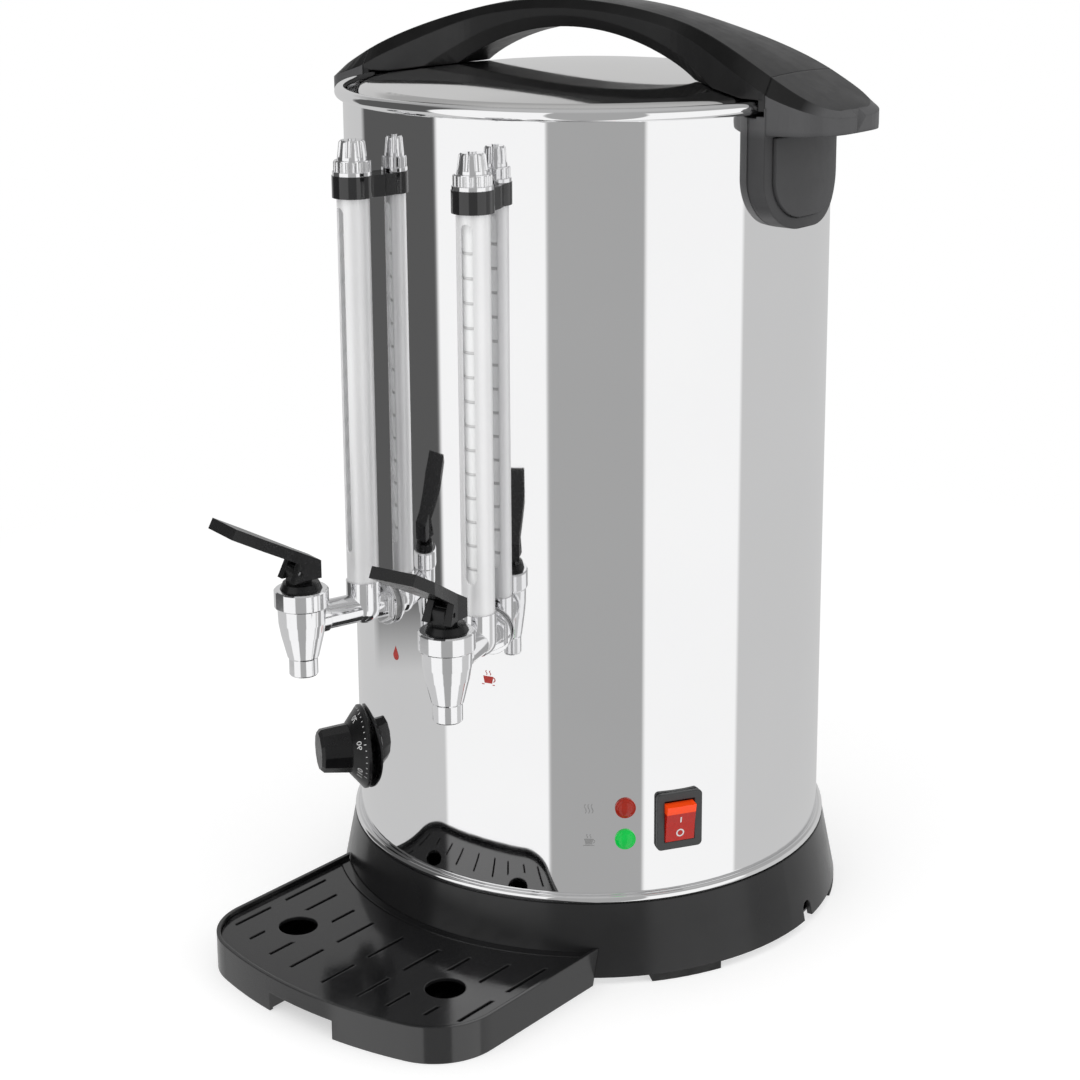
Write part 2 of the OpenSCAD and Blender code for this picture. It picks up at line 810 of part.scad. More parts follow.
// The two lugs at each end of the arch that reach down outside the rim bead
module arch_prongs(side) {
  half = leaf_w(arch_half) + band_out(arch_half) - 0.4;
  translate([0, 0, rim_h - 4.8]) linear_extrude(height = 6) difference() {
    translate([side > 0 ? arch_half - 14 : -arch_half, -half]) square([14, 2 * half]);
    translate([-arch_half - 1, -14]) square([2 * arch_half + 2, 28]);
    circle(r = bead_r_mid + rim_bead_r + slide_gap, $fn = 144);
  }
}

function wing_z(x) =
  let (
    base = arch_z(wing_x),
    slope = wing_x / sqrt(arch_r * arch_r - wing_x * wing_x),
    u = x - wing_x,
    span = wing_tip - 3.5 - wing_x
  )
  x <= wing_x ? arch_z(x) : base - slope * u + 0.03 * u * u / (2 * span);
function wing_floor(x) = wing_under + (wing_under_tip - wing_under) * (x - bracket_x) / (wing_tip - bracket_x);

// A power of 1 makes the nose an ellipse in plan, less makes it blunter
nose_power = 0.625;

// One cross-section of the wing; t runs from 0 at the seam to 1 at the tip
function wing_ring(t) =
  let (
    straight = 0.1,
    turn = t < straight ? 0 : 88 * (t - straight) / (1 - straight),
    start = bracket_x + (wing_x - bracket_x) * min(t / straight, 1),
    along = pow(sin(turn), nose_power),
    across = pow(cos(turn), nose_power),
    x_top = start + (wing_tip - 3.5 - wing_x) * along,
    x_low = start + (wing_tip - wing_x) * along,
    w = leaf_w(start) * across,
    side = (leaf_w(start) + band_out(start)) * across,
    top = wing_z(x_top),
    band = max(top - band_drop(start) * (1 - 0.65 * along), wing_floor(x_low) + 3)
  )
  [
    [x_low, -side + 0.4 * across, wing_floor(x_low)],
    [x_low, -side, wing_floor(x_low) + 2],
    [x_low, -side, band],
    [x_top, -w, top],
    [x_top, -0.7 * w, top + 0.51 * arch_crown * across],
    [x_top, -0.35 * w, top + 0.88 * arch_crown * across],
    [x_top, 0, top + arch_crown * across],
    [x_top, 0.35 * w, top + 0.88 * arch_crown * across],
    [x_top, 0.7 * w, top + 0.51 * arch_crown * across],
    [x_top, w, top],
    [x_low, side, band],
    [x_low, side, wing_floor(x_low) + 2],
    [x_low, side - 0.4 * across, wing_floor(x_low)]
  ];

module wing() {
  skin([for (i = [0 : edge_steps]) wing_ring(i / edge_steps)]);
}

function bracket_screw_heights() = [rim_h - 24, rim_h - 50];

// The pad outline in the tangent plane, narrowed on each side by an inset
module pad_outline(inset, top_z) {
  half = pad_half_w - inset;
  corner = pad_corner_r - inset;
  translate([-half, pad_bottom + pad_corner_r]) square([2 * half, top_z - pad_bottom - pad_corner_r]);
  translate([-half + corner, pad_bottom + inset]) square([2 * (half - corner), pad_corner_r + 1]);
  for (side = [-1, 1])
    translate([side * (half - corner), pad_bottom + inset + corner]) circle(r = corner);
}

module pad_prism(inset, top_z, out) {
  rotate([90, 0, 90]) linear_extrude(height = out) pad_outline(inset, top_z);
}

// A bracket on the +X side: pad on the wall, neck under the bead and wing above it
module bracket_shape() {
  difference() {
    union() {
      intersection() {
        pad_prism(0, bead_clear_z, body_r + 40);
        cylinder(r = pad_out_r, h = rim_h, $fn = 144);
      }
      intersection() {
        translate([bracket_x, -pad_half_w, wing_under]) cube([pad_out_r - bracket_x, 2 * pad_half_w, 14]);
        cylinder(r = pad_out_r, h = rim_h, $fn = 144);
      }
      wing();
    }
    translate([0, 0, pad_bottom - cut]) cylinder(r = body_r + seat_gap, h = bead_clear_z - pad_bottom + cut, $fn = 144);
    translate([0, 0, bead_clear_z - cut]) cylinder(r = bead_r_mid + rim_bead_r + slide_gap, h = 40, $fn = 144);
    cover_seat();
    for (z = bracket_screw_heights())
      translate([body_r - 5, 0, z]) rotate([0, 90, 0]) cylinder(r = 2.3, h = 12);
  }
}

// The shallow seat for the cover that hides the screw heads
module cover_seat() {
  difference() {
    pad_prism(6, wing_under - 1, body_r + 40);
    translate([0, 0, pad_bottom - cut]) cylinder(r = pad_out_r - 1.5, h = pad_zone, $fn = 144);
  }
}

module bracket_cover_shape() {
  intersection() {
    pad_prism(6 + slide_gap, wing_under - 1 - slide_gap, body_r + 40);
    difference() {
      translate([0, 0, pad_bottom]) cylinder(r = pad_out_r + cover_rise, h = pad_zone, $fn = 144);
      translate([0, 0, pad_bottom - cut]) cylinder(r = pad_out_r - 1.5 + seat_gap, h = pad_zone + 2 * cut, $fn = 144);
    }
  }
}

module bracket_right() {
  color([0.27, 0.27, 0.28]) bracket_shape();
}

module bracket_left() {
  color([0.27, 0.27, 0.28]) mirror([1, 0, 0]) bracket_shape();
}

module bracket_cover_right() {
  color([0.3, 0.3, 0.31]) bracket_cover_shape();
}

module bracket_cover_left() {
  color([0.3, 0.3, 0.31]) mirror([1, 0, 0]) bracket_cover_shape();
}

module bracket_screws() {
  color([0.7, 0.7, 0.72])
    for (side = [-1, 1])
      for (z = bracket_screw_heights())
        radial(side * 90) {
          radial_rod(2.2, shell_in_r - 4, body_r + 6.5, z);
          radial_rod(4.4, shell_in_r - 4.2, shell_in_r - 1.2, z);
        }
}

// ---------------------------------------------------------------- outlet pipes

module pipe() {
  color([0.78, 0.78, 0.8]) difference() {
    union() {
      radial_rod(thread_r, pipe_inner_x, body_r + 3, pipe_h);
      radial_rod(pipe_r, body_r + gasket_t + nut_t, tap_wall_r + 1.4, pipe_h);
      radial_rod(thread_r, body_r, tap_wall_r, pipe_h);
      translate([gauge_reach, 0, pipe_h]) sphere(r = tee_r);
      translate([gauge_reach, 0, pipe_h]) cylinder(r = socket_r, h = guard_rise);
    }
    radial_rod(pipe_bore_r, pipe_inner_x - cut, tap_wall_r + 2, pipe_h);
    translate([gauge_reach, 0, pipe_h]) cylinder(r = glass_r - glass_wall, h = 40);
    translate([gauge_reach, 0, glass_z]) cylinder(r = glass_r + 0.1, h = 40);
    translate([gauge_reach, 0, guard_z]) cylinder(r = socket_in_r, h = 40);
    translate([tap_reach, 0, pipe_h - 20]) cylinder(r = tap_shoulder_r - 1, h = 40);
  }
}

module pipe_left() {
  radial(-tap_angle) pipe();
}

module pipe_right() {
  radial(tap_angle) pipe();
}

module hex_nut(from_x, thickness, bore) {
  translate([from_x, 0, pipe_h]) rotate([0, 90, 0]) difference() {
    cylinder(r = nut_r, h = thickness, $fn = 6);
    translate([0, 0, -cut]) cylinder(r = bore, h = thickness + 2 * cut);
  }
}

module pipe_outer_nuts() {
  color([0.78, 0.78, 0.8])
    for (side = [-1, 1])
      radial(side * tap_angle) {
        nut_flange();
        hex_nut(body_r + gasket_t, nut_t, thread_r + fit_gap);
      }
}

// The round flange that presses the gasket on the wall
module nut_flange() {
  difference() {
    radial_rod(washer_r, body_r + gasket_t, body_r + gasket_t + flange_t, pipe_h);
    radial_rod(thread_r + fit_gap, body_r, body_r + gasket_t + nut_t, pipe_h);
  }
}

module pipe_inner_nuts() {
  color([0.74, 0.74, 0.76])
    for (side = [-1, 1])
      radial(side * tap_angle) hex_nut(tank_in_r - gasket_t - 5, 4, thread_r + fit_gap);
}

module pipe_gaskets() {
  color([0.75, 0.3, 0.2])
    for (side = [-1, 1])
      radial(side * tap_angle) {
        gasket(body_r - 0.6, gasket_t + 0.6, true);
        gasket(tank_in_r - gasket_t - 1, gasket_t + 1, false);
      }
}

// A rubber ring with one face shaped to the round wall
module gasket(from_x, thickness, outside) {
  difference() {
    radial_rod(gasket_r, from_x, from_x + thickness, pipe_h);
    radial_rod(thread_r + fit_gap, from_x - cut, from_x + thickness + cut, pipe_h);
    if (outside)
      cylinder(r = body_r, h = rim_h, $fn = 144);
    else
      translate([0, 0, tank_floor_h]) difference() {
        cylinder(r = body_r, h = flange_z - tank_floor_h, $fn = 144);
        cylinder(r = tank_in_r, h = flange_z - tank_floor_h, $fn = 144);
      }
  }
}

// ---------------------------------------------------------------- taps

module tap_profile() {
  polygon([
    [0, spout_z],
    [spout_r - 0.4, spout_z],
    [spout_r, spout_z + 0.6],
    [spout_r, neck_z],
    [spout_r + 0.7, neck_z + 0.8],
    [spout_r + 1.5, neck_z + 4],
    [tap_shoulder_r - 1.5, neck_z + 13],
    [tap_shoulder_r - 0.3, neck_z + 20],
    [tap_shoulder_r, step_z],
    [tap_collar_r - 0.4, step_z],
    [tap_collar_r, step_z + 0.6],
    [tap_collar_r, tap_top - 0.8],
    [tap_collar_r - 0.8, tap_top],
    [0, tap_top]
  ]);
}

module tap_body() {
  color([0.8, 0.8, 0.82]) difference() {
    union() {
      translate([tap_reach, 0, 0]) rotate_extrude() tap_profile();
      radial_rod(pipe_r + 0.9, tap_wall_r - 1.5, tap_reach - 6, pipe_h);
    }
    translate([tap_reach, 0, seat_z]) cylinder(r = chamber_r, h = 60);
    translate([tap_reach, 0, seat_z - 2.5]) cylinder(r1 = spout_bore_r, r2 = spout_bore_r + 1.6, h = 3);
    translate([tap_reach, 0, spout_z - cut]) cylinder(r = spout_bore_r, h = 30);
    radial_rod(pipe_bore_r, tap_wall_r - 4, tap_reach, pipe_h);
    radial_rod(pipe_r + seat_gap, tap_wall_r - 4, tap_wall_r + 1.5, pipe_h);
    translate([tap_reach, 0, tap_top - 6]) cylinder(r = chamber_r + 2, h = 20);
  }
}

module tap_body_left() {
  radial(-tap_angle) tap_body();
}

module tap_body_right() {
  radial(tap_angle) tap_body();
}

// Screwed cap in the top of the tap, with the neck that the lever sits on
module tap_bonnet() {
  color([0.05, 0.05, 0.055]) difference() {
    union() {
      translate([0, 0, tap_top - 6]) cylinder(r = chamber_r + 2 - seat_gap, h = 6);
      translate([0, 0, tap_top]) cylinder(r1 = chamber_r + 2.4, r2 = chamber_r + 0.8, h = disc_h);
      translate([-4.5, -neck_w / 2, tap_top]) cube([neck_front + 4.5, neck_w, pivot_rise]);
      translate([-4.5, -neck_w / 2, tap_top]) cube([neck_front + 2, neck_w, pivot_rise + 3]);
      translate([pivot_offset, neck_w / 2, pivot_z]) rotate([90, 0, 0]) cylinder(r = 2.6, h = neck_w);
    }
    translate([0, 0, tap_top - 8]) cylinder(r = stem_r + 0.1, h = 40);
    translate([-cross_pin_r - 0.3, -10, pivot_z - cross_pin_r - 0.3])
      cube([2 * cross_pin_r + 0.6, 20, 2 * cross_pin_r + 6]);
    translate([pivot_offset, 10, pivot_z]) rotate([90, 0, 0]) cylinder(r = pivot_pin_r, h = 20);
    translate([0, 0, tap_top - 7]) cylinder(r = chamber_r - 1.5, h = 4.5);
  }
}

// Places its children on the spout axis of one tap, with the lever's own turn
module on_tap(angle, turn) {
  radial(angle) translate([tap_reach, 0, 0]) rotate([0, 0, turn]) children();
}

module tap_bonnet_left() {
  on_tap(-tap_angle, left_lever_turn) tap_bonnet();
}

module tap_bonnet_right() {
  on_tap(tap_angle, right_lever_turn) tap_bonnet();
}

module tap_pin() {
  color([0.7, 0.7, 0.72])
    translate([pivot_offset, lever_head_w / 2 - 0.6, pivot_z]) rotate([90, 0, 0])
      cylinder(r = pivot_pin_r, h = lever_head_w - 1.2);
}

module tap_pin_left() {
  on_tap(-tap_angle, left_lever_turn) tap_pin();
}

module tap_pin_right() {
  on_tap(tap_angle, right_lever_turn) tap_pin();
}

// Lever outline in its own upright plane, from the head to the paddle tip
function lever_top(x) = lever_head_top + (x - lever_back) * tan(lever_rise);
function lever_under(x) = lever_top(x) - lever_t / cos(lever_rise);

module lever_side() {
  polygon([
    [lever_back, lever_head_low],
    [lever_front_low, lever_head_low],
    [lever_front_high, lever_under(lever_front_high)],
    [lever_tip + lever_t * sin(lever_rise), lever_under(lever_tip + lever_t * sin(lever_rise))],
    [lever_tip, lever_top(lever_tip)],
    [lever_back, lever_head_top]
  ]);
}

// Hollow of the head, closed by a thin skin at the back and above
module lever_hollow() {
  x0 = lever_back + lever_skin;
  x1 = lever_front_low + 3;
  polygon([
    [x0, lever_head_low - cut],
    [x1, lever_head_low - cut],
    [x1, lever_top(x1) - lever_skin],
    [x0, lever_top(x0) - lever_skin]
  ]);
}

module lever_plan() {
  head = lever_head_w / 2;
  paddle = lever_paddle_w / 2;
  far = lever_tip + lever_t;
  polygon([
    [lever_back - cut, -head],
    [0, -head],
    [paddle_start, -paddle],
    [far, -paddle],
    [far, paddle],
    [paddle_start, paddle],
    [0, head],
    [lever_back - cut, head]
  ]);
}

// An upright plate of the given half width from a side outline
module upright(half) {
  translate([0, half, 0]) rotate([90, 0, 0]) linear_extrude(height = 2 * half) children();
}

module tap_lever() {
  color([0.04, 0.04, 0.045]) difference() {
    intersection() {
      upright(lever_paddle_w) lever_side();
      translate([0, 0, tap_top]) linear_extrude(height = lever_l + lever_head_top - tap_top) lever_plan();
    }
    upright(neck_w / 2 + neck_gap) lever_hollow();
    translate([pivot_offset, 10, pivot_z]) rotate([90, 0, 0]) cylinder(r = pivot_pin_r + pin_gap, h = 20);
    translate([-2.6, -6.4, pivot_z - cross_pin_r - 0.5]) cube([4.9, 12.8, 2 * cross_pin_r + 1]);
  }
}

module tap_lever_left() {
  on_tap(-tap_angle, left_lever_turn) tap_lever();
}

module tap_lever_right() {
  on_tap(tap_angle, right_lever_turn) tap_lever();
}

// The stem with its cross pin, which the lever lifts
module tap_plunger() {
  color([0.85, 0.85, 0.86]) {
    translate([0, 0, seat_z + 4]) cylinder(r = stem_r, h = pivot_z - seat_z - 4 + cross_pin_r + 1);
    translate([0, 6, pivot_z]) rotate([90, 0, 0]) cylinder(r = cross_pin_r, h = 12);
  }
}

module tap_plunger_left() {
  on_tap(-tap_angle, left_lever_turn) tap_plunger();
}

module tap_plunger_right() {
  on_tap(tap_angle, right_lever_turn) tap_plunger();
}

// The soft cup that closes the seat
module tap_seat() {
  color([0.9, 0.88, 0.82]) difference() {
    union() {
      translate([0, 0, seat_z + 0.1]) cylinder(r1 = spout_bore_r + 2.1, r2 = chamber_r - 0.8, h = 3.4);
      translate([0, 0, seat_z + 3.4]) cylinder(r = 4.6, h = 6);
    }
    translate([0, 0, seat_z + 4]) cylinder(r = stem_r + fit_gap, h = 20);
  }
}

module tap_seat_left() {
  on_tap(-tap_angle, left_lever_turn) tap_seat();
}

module tap_seat_right() {
  on_tap(tap_angle, right_lever_turn) tap_seat();
}

// ---------------------------------------------------------------- sight gauges

module on_gauge(angle) {
  radial(angle) translate([gauge_reach, 0, 0]) children();
}

module gauge_guard() {
  color([0.76, 0.76, 0.78]) difference() {
    translate([0, 0, guard_z]) cylinder(r = guard_r, h = guard_l);
    translate([0, 0, guard_z - cut]) cylinder(r = guard_r - guard_wall, h = guard_l + 2 * cut);
    rotate([90, 0, 90]) linear_extrude(height = 30, center = true) {
      translate([-window_w / 2, window_z0 + window_w / 2])
        square([window_w, window_z1 - window_z0 - window_w]);
      for (z = [window_z0 + window_w / 2, window_z1 - window_w / 2])
        translate([0, z]) circle(d = window_w);
    }
  }
}

module gauge_guard_left() {
  on_gauge(-tap_angle) gauge_guard();
}

module gauge_guard_right() {
  on_gauge(tap_angle) gauge_guard();
}

module gauge_glass() {
  color([0.85, 0.92, 0.95, 0.4]) difference() {
    translate([0, 0, glass_z]) cylinder(r = glass_r, h = glass_top - glass_z);
    translate([0, 0, glass_z - cut]) cylinder(r = glass_r - glass_wall, h = glass_top - glass_z + 2 * cut);
  }
}

module gauge_glass_left() {
  on_gauge(-tap_angle) gauge_glass();
}

module gauge_glass_right() {
  on_gauge(tap_angle) gauge_glass();
}

// Plastic clamp that ties the guard tube to the wall
module gauge_clamp() {
  arm = gauge_reach - body_r;
  color([0.05, 0.05, 0.055]) difference() {
    translate([0, 0, clamp_z]) linear_extrude(height = clamp_h) {
      circle(r = clamp_r);
      translate([-arm - 2, -8]) square([arm + 2, 16]);
    }
    translate([0, 0, clamp_z - cut]) cylinder(r = guard_r + seat_gap, h = clamp_h + 2 * cut);
    translate([-gauge_reach, 0, clamp_z - cut]) cylinder(r = body_r + seat_gap, h = clamp_h + 2 * cut, $fn = 144);
  }
}

module gauge_clamp_left() {
  on_gauge(-tap_angle) gauge_clamp();
}

module gauge_clamp_right() {
  on_gauge(tap_angle) gauge_clamp();
}

// Ring nut with ribs, over the end of the guard tube
module gauge_nut() {
  color([0.8, 0.8, 0.82]) difference() {
    union() {
      translate([0, 0, ring_nut_z]) cylinder(r = ring_nut_r, h = 2.2);
      translate([0, 0, ring_nut_z]) cylinder(r = ring_nut_r - 1.3, h = ring_nut_h);
      for (i = [0 : 15])
        rotate([0, 0, i * 22.5]) translate([ring_nut_r - 1.7, 0, ring_nut_z + 1])
          cylinder(r = 1.1, h = ring_nut_h - 1.6, $fn = 24);
    }
    translate([0, 0, ring_nut_z - cut]) cylinder(r = guard_r + seat_gap, h = 1.5 + cut + 0.1);
    translate([0, 0, ring_nut_z]) cylinder(r = glass_r + 0.3, h = ring_nut_h + cut);
  }
}

module gauge_nut_left() {
  on_gauge(-tap_angle) gauge_nut();
}

module gauge_nut_right() {
  on_gauge(tap_angle) gauge_nut();
}

module gauge_cap() {
  color([0.8, 0.8, 0.82]) difference() {
    union() {
      translate([0, 0, cap_z]) cylinder(r1 = cap_r, r2 = cap_top_r + 0.6, h = gauge_cap_h - 1.6);
      translate([0, 0, cap_z + gauge_cap_h - 1.6]) cylinder(r1 = cap_top_r + 0.6, r2 = cap_top_r - 0.4, h = 1);
      translate([0, 0, cap_z + gauge_cap_h - 1]) cylinder(r = 2.2, h = 1);
    }
    for (i = [0 : cap_flutes - 1])
      rotate([0, 0, i * 360 / cap_flutes]) translate([cap_r + 0.9, 0, cap_z + 2])
        rotate([0, -atan2(cap_r - cap_top_r, gauge_cap_h), 0]) cylinder(r = 1.9, h = gauge_cap_h + 4);
    translate([0, 0, cap_z - cut]) cylinder(r = 3, h = 5);
  }
}

module gauge_cap_left() {
  on_gauge(-tap_angle) gauge_cap();
}

module gauge_cap_right() {
  on_gauge(tap_angle) gauge_cap();
}

// Rubber rings between the glass and the metal at both ends
module gauge_seals() {
  color([0.12, 0.12, 0.12])
    for (side = [-1, 1])
      on_gauge(side * tap_angle) {
        for (z = [guard_z, guard_top - 4])
          translate([0, 0, z]) difference() {
            cylinder(r = guard_r - guard_wall - fit_gap, h = 4);
            translate([0, 0, -cut]) cylinder(r = glass_r + fit_gap, h = 4 + 2 * cut);
          }
      }
}

// ---------------------------------------------------------------- controls

// Turns its children so that local Z points outward from the wall
module on_wall(angle, z) {
  radial(angle) translate([0, 0, z]) rotate([0, 90, 0]) rotate([0, 0, 90]) children();
}

module thermostat_knob() {
  grip_end = body_r + grip_l;
  color([0.05, 0.05, 0.055]) on_wall(knob_angle, knob_h) difference() {
    union() {
      translate([0, 0, dial_base]) cylinder(r = dial_r, h = 1.6);
      translate([0, 0, dial_base + 1.6]) cylinder(r1 = dial_r, r2 = grip_r + 1.6, h = dial_h - 1.6);
      translate([0, 0, grip_base - 1])
        cylinder(r1 = grip_r + 1, r2 = grip_r - 0.8, h = grip_end - grip_base - 0.8, $fn = grip_facets);
      translate([0, 0, grip_end - 1.8]) cylinder(r1 = grip_r - 0.8, r2 = grip_r - 2.6, h = 1.8, $fn = grip_facets);
    }
    translate([0, 0, body_r - 1]) cylinder(r = shaft_r + 0.05, h = 14);
    translate([0, 0, dial_base - 0.4]) cylinder(r = dial_r - 3, h = 2);
  }
}

module thermostat_shaft() {
  color([0.7, 0.7, 0.72]) on_wall(knob_angle, knob_h) difference() {
    translate([0, 0, shell_in_r - 8]) cylinder(r = shaft_r, h = 8 + shell_wall + 11);
    translate([shaft_r - 1, -5, body_r + 2]) cube([5, 10, 12]);
  }
}

module thermostat_body() {
  plate_x = shell_in_r + 1.2;
  color([0.75, 0.72, 0.6]) on_wall(knob_angle, knob_h) difference() {
    union() {
      translate([0, 0, plate_x - 4]) cylinder(r = 4.8, h = 4);
      translate([-20, -14, plate_x - 4.4]) cube([40, 28, 1.5]);
      translate([-thermostat_half, -thermostat_half, plate_x - 4.2 - thermostat_depth])
        cube([2 * thermostat_half, 2 * thermostat_half, thermostat_depth]);
      for (side = [-1, 1])
        translate([side * 10 - 3, -0.4, plate_x - 11 - thermostat_depth]) cube([6, 0.8, 8]);
    }
    translate([0, 0, plate_x - 12]) cylinder(r = shaft_r + 0.08, h = 30);
  }
}

// Capillary and bulb that feel the tank floor
module thermostat_probe() {
  tube_r = 1.2;
  tube_x = heat_r + probe_gap;
  tube_z = knob_h + thermostat_half + seat_gap;
  bulb_r = 3.2;
  bulb_z = tank_floor_h - bulb_r - seat_gap;
  color([0.75, 0.5, 0.35]) radial(knob_angle) {
    translate([tube_x, 0, tube_z]) cylinder(r = tube_r, h = bulb_z - tube_z);
    translate([tube_x - 2, -15, bulb_z]) rotate([-90, 0, 0]) cylinder(r = bulb_r, h = 30);
  }
}

module lamp(z) {
  on_wall(lamp_angle, z) {
    translate([0, 0, shell_in_r - 14]) cylinder(r = lamp_r - 1, h = 17);
    intersection() {
      translate([0, 0, body_r + 0.6]) cylinder(r = lamp_r, h = 6);
      translate([0, 0, body_r + 3 - 7.6]) sphere(r = 7.6);
    }
    translate([0, 0, body_r + 0.1]) cylinder(r = lamp_r + 0.6, h = 0.9);
  }
}

module lamp_red() {
  color([0.8, 0.1, 0.05]) lamp(lamp_high);
}

module lamp_green() {
  color([0.05, 0.75, 0.25]) lamp(lamp_low);
}

module switch_housing() {
  open_w = rocker_w + 1;
  open_l = rocker_l + 2;
  color([0.06, 0.06, 0.065]) on_wall(switch_angle, switch_h) difference() {
    union() {
      translate([0, 0, body_r + 0.1]) linear_extrude(height = bezel_t - 0.1) bezel_outline(2.5);
      translate([-switch_body_w / 2, -switch_body_l / 2, shell_in_r - 22])
        cube([switch_body_w, switch_body_l, 24]);
      for (side = [-1, 1])
        translate([-3, side * 8 - 0.4, shell_in_r - 30]) cube([6, 0.8, 9]);
    }
    translate([-open_w / 2, -open_l / 2, shell_in_r - 12]) cube([open_w, open_l, 30]);
    translate([-15, 0, switch_face - 4.2]) rotate([0, 90, 0]) cylinder(r = 1.5, h = 30);
  }
}

// Frame outline of the switch with rounded corners
module bezel_outline(corner) {
  square([switch_w, switch_l - 2 * corner], center = true);
  square([switch_w - 2 * corner, switch_l], center = true);
  for (x = [-1, 1])
    for (y = [-1, 1])
      translate([x * (switch_w / 2 - corner), y * (switch_l / 2 - corner)]) circle(r = corner);
}

// Rocker with two faces that meet in a shallow valley
module switch_rocker() {
  tilt = rocker_travel / 2;
  color([0.85, 0.08, 0.04]) on_wall(switch_angle, switch_h) difference() {
    union() {
      translate([0, 0, switch_face - 4.2]) rotate([tilt, 0, 0]) rocker_block();
      translate([-rocker_w / 2 - 1.6, 0, switch_face - 4.2]) rotate([0, 90, 0])
        cylinder(r = 1.42, h = rocker_w + 3.2);
    }
  }
}

module rocker_block() {
  rotate([90, 0, 90]) linear_extrude(height = rocker_w, center = true) polygon([
    [-rocker_l / 2 + 0.6, 0.6],
    [-rocker_l / 2 + 0.2, 6.2],
    [0, 5.7],
    [rocker_l / 2 - 0.2, 6.2],
    [rocker_l / 2 - 0.6, 0.6],
    [3, -4],
    [-3, -4]
  ]);
}

// ---------------------------------------------------------------- heating and wiring

module heat_plate() {
  color([0.7, 0.7, 0.72]) translate([0, 0, tank_floor_h - heat_t]) cylinder(r = heat_r, h = heat_t, $fn = 144);
}

module heating_element() {
  ring_r = heat_r - element_inset;
  tube_r = 4;
  tube_z = tank_floor_h - heat_t - tube_r;
  color([0.45, 0.45, 0.47]) {
    translate([0, 0, tube_z]) rotate([0, 0, 105]) rotate_extrude(angle = 330)
      translate([ring_r, 0]) circle(r = tube_r, $fn = 32);
    for (a = [109, 71])
      rotate([0, 0, a]) translate([ring_r, 0, tube_z - element_leg]) {
        cylinder(r = tube_r - 0.5, h = element_leg);
        translate([0, 0, -8]) cylinder(r = 1.6, h = 9);
      }
  }
}

module dry_boil_cutout() {
  top = tank_floor_h - heat_t;
  color([0.85, 0.82, 0.74]) {
    translate([0, 0, top - 9]) cylinder(r = 9, h = 9);
    translate([-17, -4, top - 1.2]) cube([34, 8, 1.2]);
    for (side = [-1, 1])
      translate([side * 4 - 3, -0.4, top - 17]) cube([6, 0.8, 9]);
  }
}

module terminal_block() {
  top = plate_z + bottom_plate_t;
  color([0.9, 0.9, 0.88]) translate([-60, 70, top]) difference() {
    union() {
      cube([44, 18, 6]);
      for (i = [0 : 3])
        translate([1.5 + i * 11, 1, 0]) cube([8, 16, 15]);
    }
    for (i = [0 : 3])
      for (y = [5, 13])
        translate([5.5 + i * 11, y, 7]) cylinder(r = 2, h = 10);
  }
}

// Bush that the mains lead enters through, at the back of the base
module cord_gland() {
  color([0.05, 0.05, 0.055]) on_skirt(180, gland_z) difference() {
    union() {
      translate([0, 0, 0.1]) cylinder(r = gland_r, h = 3);
      translate([0, 0, 3.1]) cylinder(r1 = gland_r, r2 = gland_r - 1.5, h = 2);
      translate([0, 0, -12]) cylinder(r = gland_r - 1.8, h = 13);
      translate([0, 0, -12]) cylinder(r = gland_r + 1, h = 12 - base_wall - 0.3);
    }
    translate([0, 0, -20]) cylinder(r = 3.6, h = 40);
  }
}

outer_shell();
inner_tank();
tank_divider();
base_skirt();
bottom_plate();
foot_pads();
base_screws();
drip_tray();
tray_grid();
lid();
lid_handle();
lid_screws();
bracket_left();
bracket_right();
bracket_cover_left();
bracket_cover_right();
bracket_screws();
pipe_left();
pipe_right();
pipe_outer_nuts();
pipe_inner_nuts();
pipe_gaskets();
tap_body_left();
tap_body_right();
tap_bonnet_left();
tap_bonnet_right();
tap_pin_left();
tap_pin_right();
tap_lever_left();
tap_lever_right();
tap_plunger_left();
tap_plunger_right();
tap_seat_left();
tap_seat_right();
gauge_guard_left();
gauge_guard_right();
gauge_glass_left();
gauge_glass_right();
gauge_clamp_left();
gauge_clamp_right();
gauge_nut_left();
gauge_nut_right();
gauge_cap_left();
gauge_cap_right();
gauge_seals();
thermostat_knob();
thermostat_shaft();
thermostat_body();
thermostat_probe();
lamp_red();
lamp_green();
switch_housing();
switch_rocker();
heat_plate();
heating_element();
dry_boil_cutout();
terminal_block();
cord_gland();
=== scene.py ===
import bpy
import bmesh
import json
from math import sin, cos, radians, pi
from mathutils import Matrix, Vector


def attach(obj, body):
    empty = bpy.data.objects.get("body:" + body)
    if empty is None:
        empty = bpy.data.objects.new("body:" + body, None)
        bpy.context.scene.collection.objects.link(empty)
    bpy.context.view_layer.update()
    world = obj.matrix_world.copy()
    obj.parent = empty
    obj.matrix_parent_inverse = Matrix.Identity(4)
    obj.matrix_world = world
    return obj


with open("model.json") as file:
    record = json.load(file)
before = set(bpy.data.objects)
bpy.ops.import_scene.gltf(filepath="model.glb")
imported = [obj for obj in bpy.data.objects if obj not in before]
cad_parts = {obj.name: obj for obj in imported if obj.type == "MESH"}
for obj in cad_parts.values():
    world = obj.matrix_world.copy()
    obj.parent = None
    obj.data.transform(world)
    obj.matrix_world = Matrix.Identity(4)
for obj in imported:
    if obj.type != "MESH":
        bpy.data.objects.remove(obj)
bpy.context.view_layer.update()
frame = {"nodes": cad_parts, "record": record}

scene = bpy.context.scene

MM = 0.001

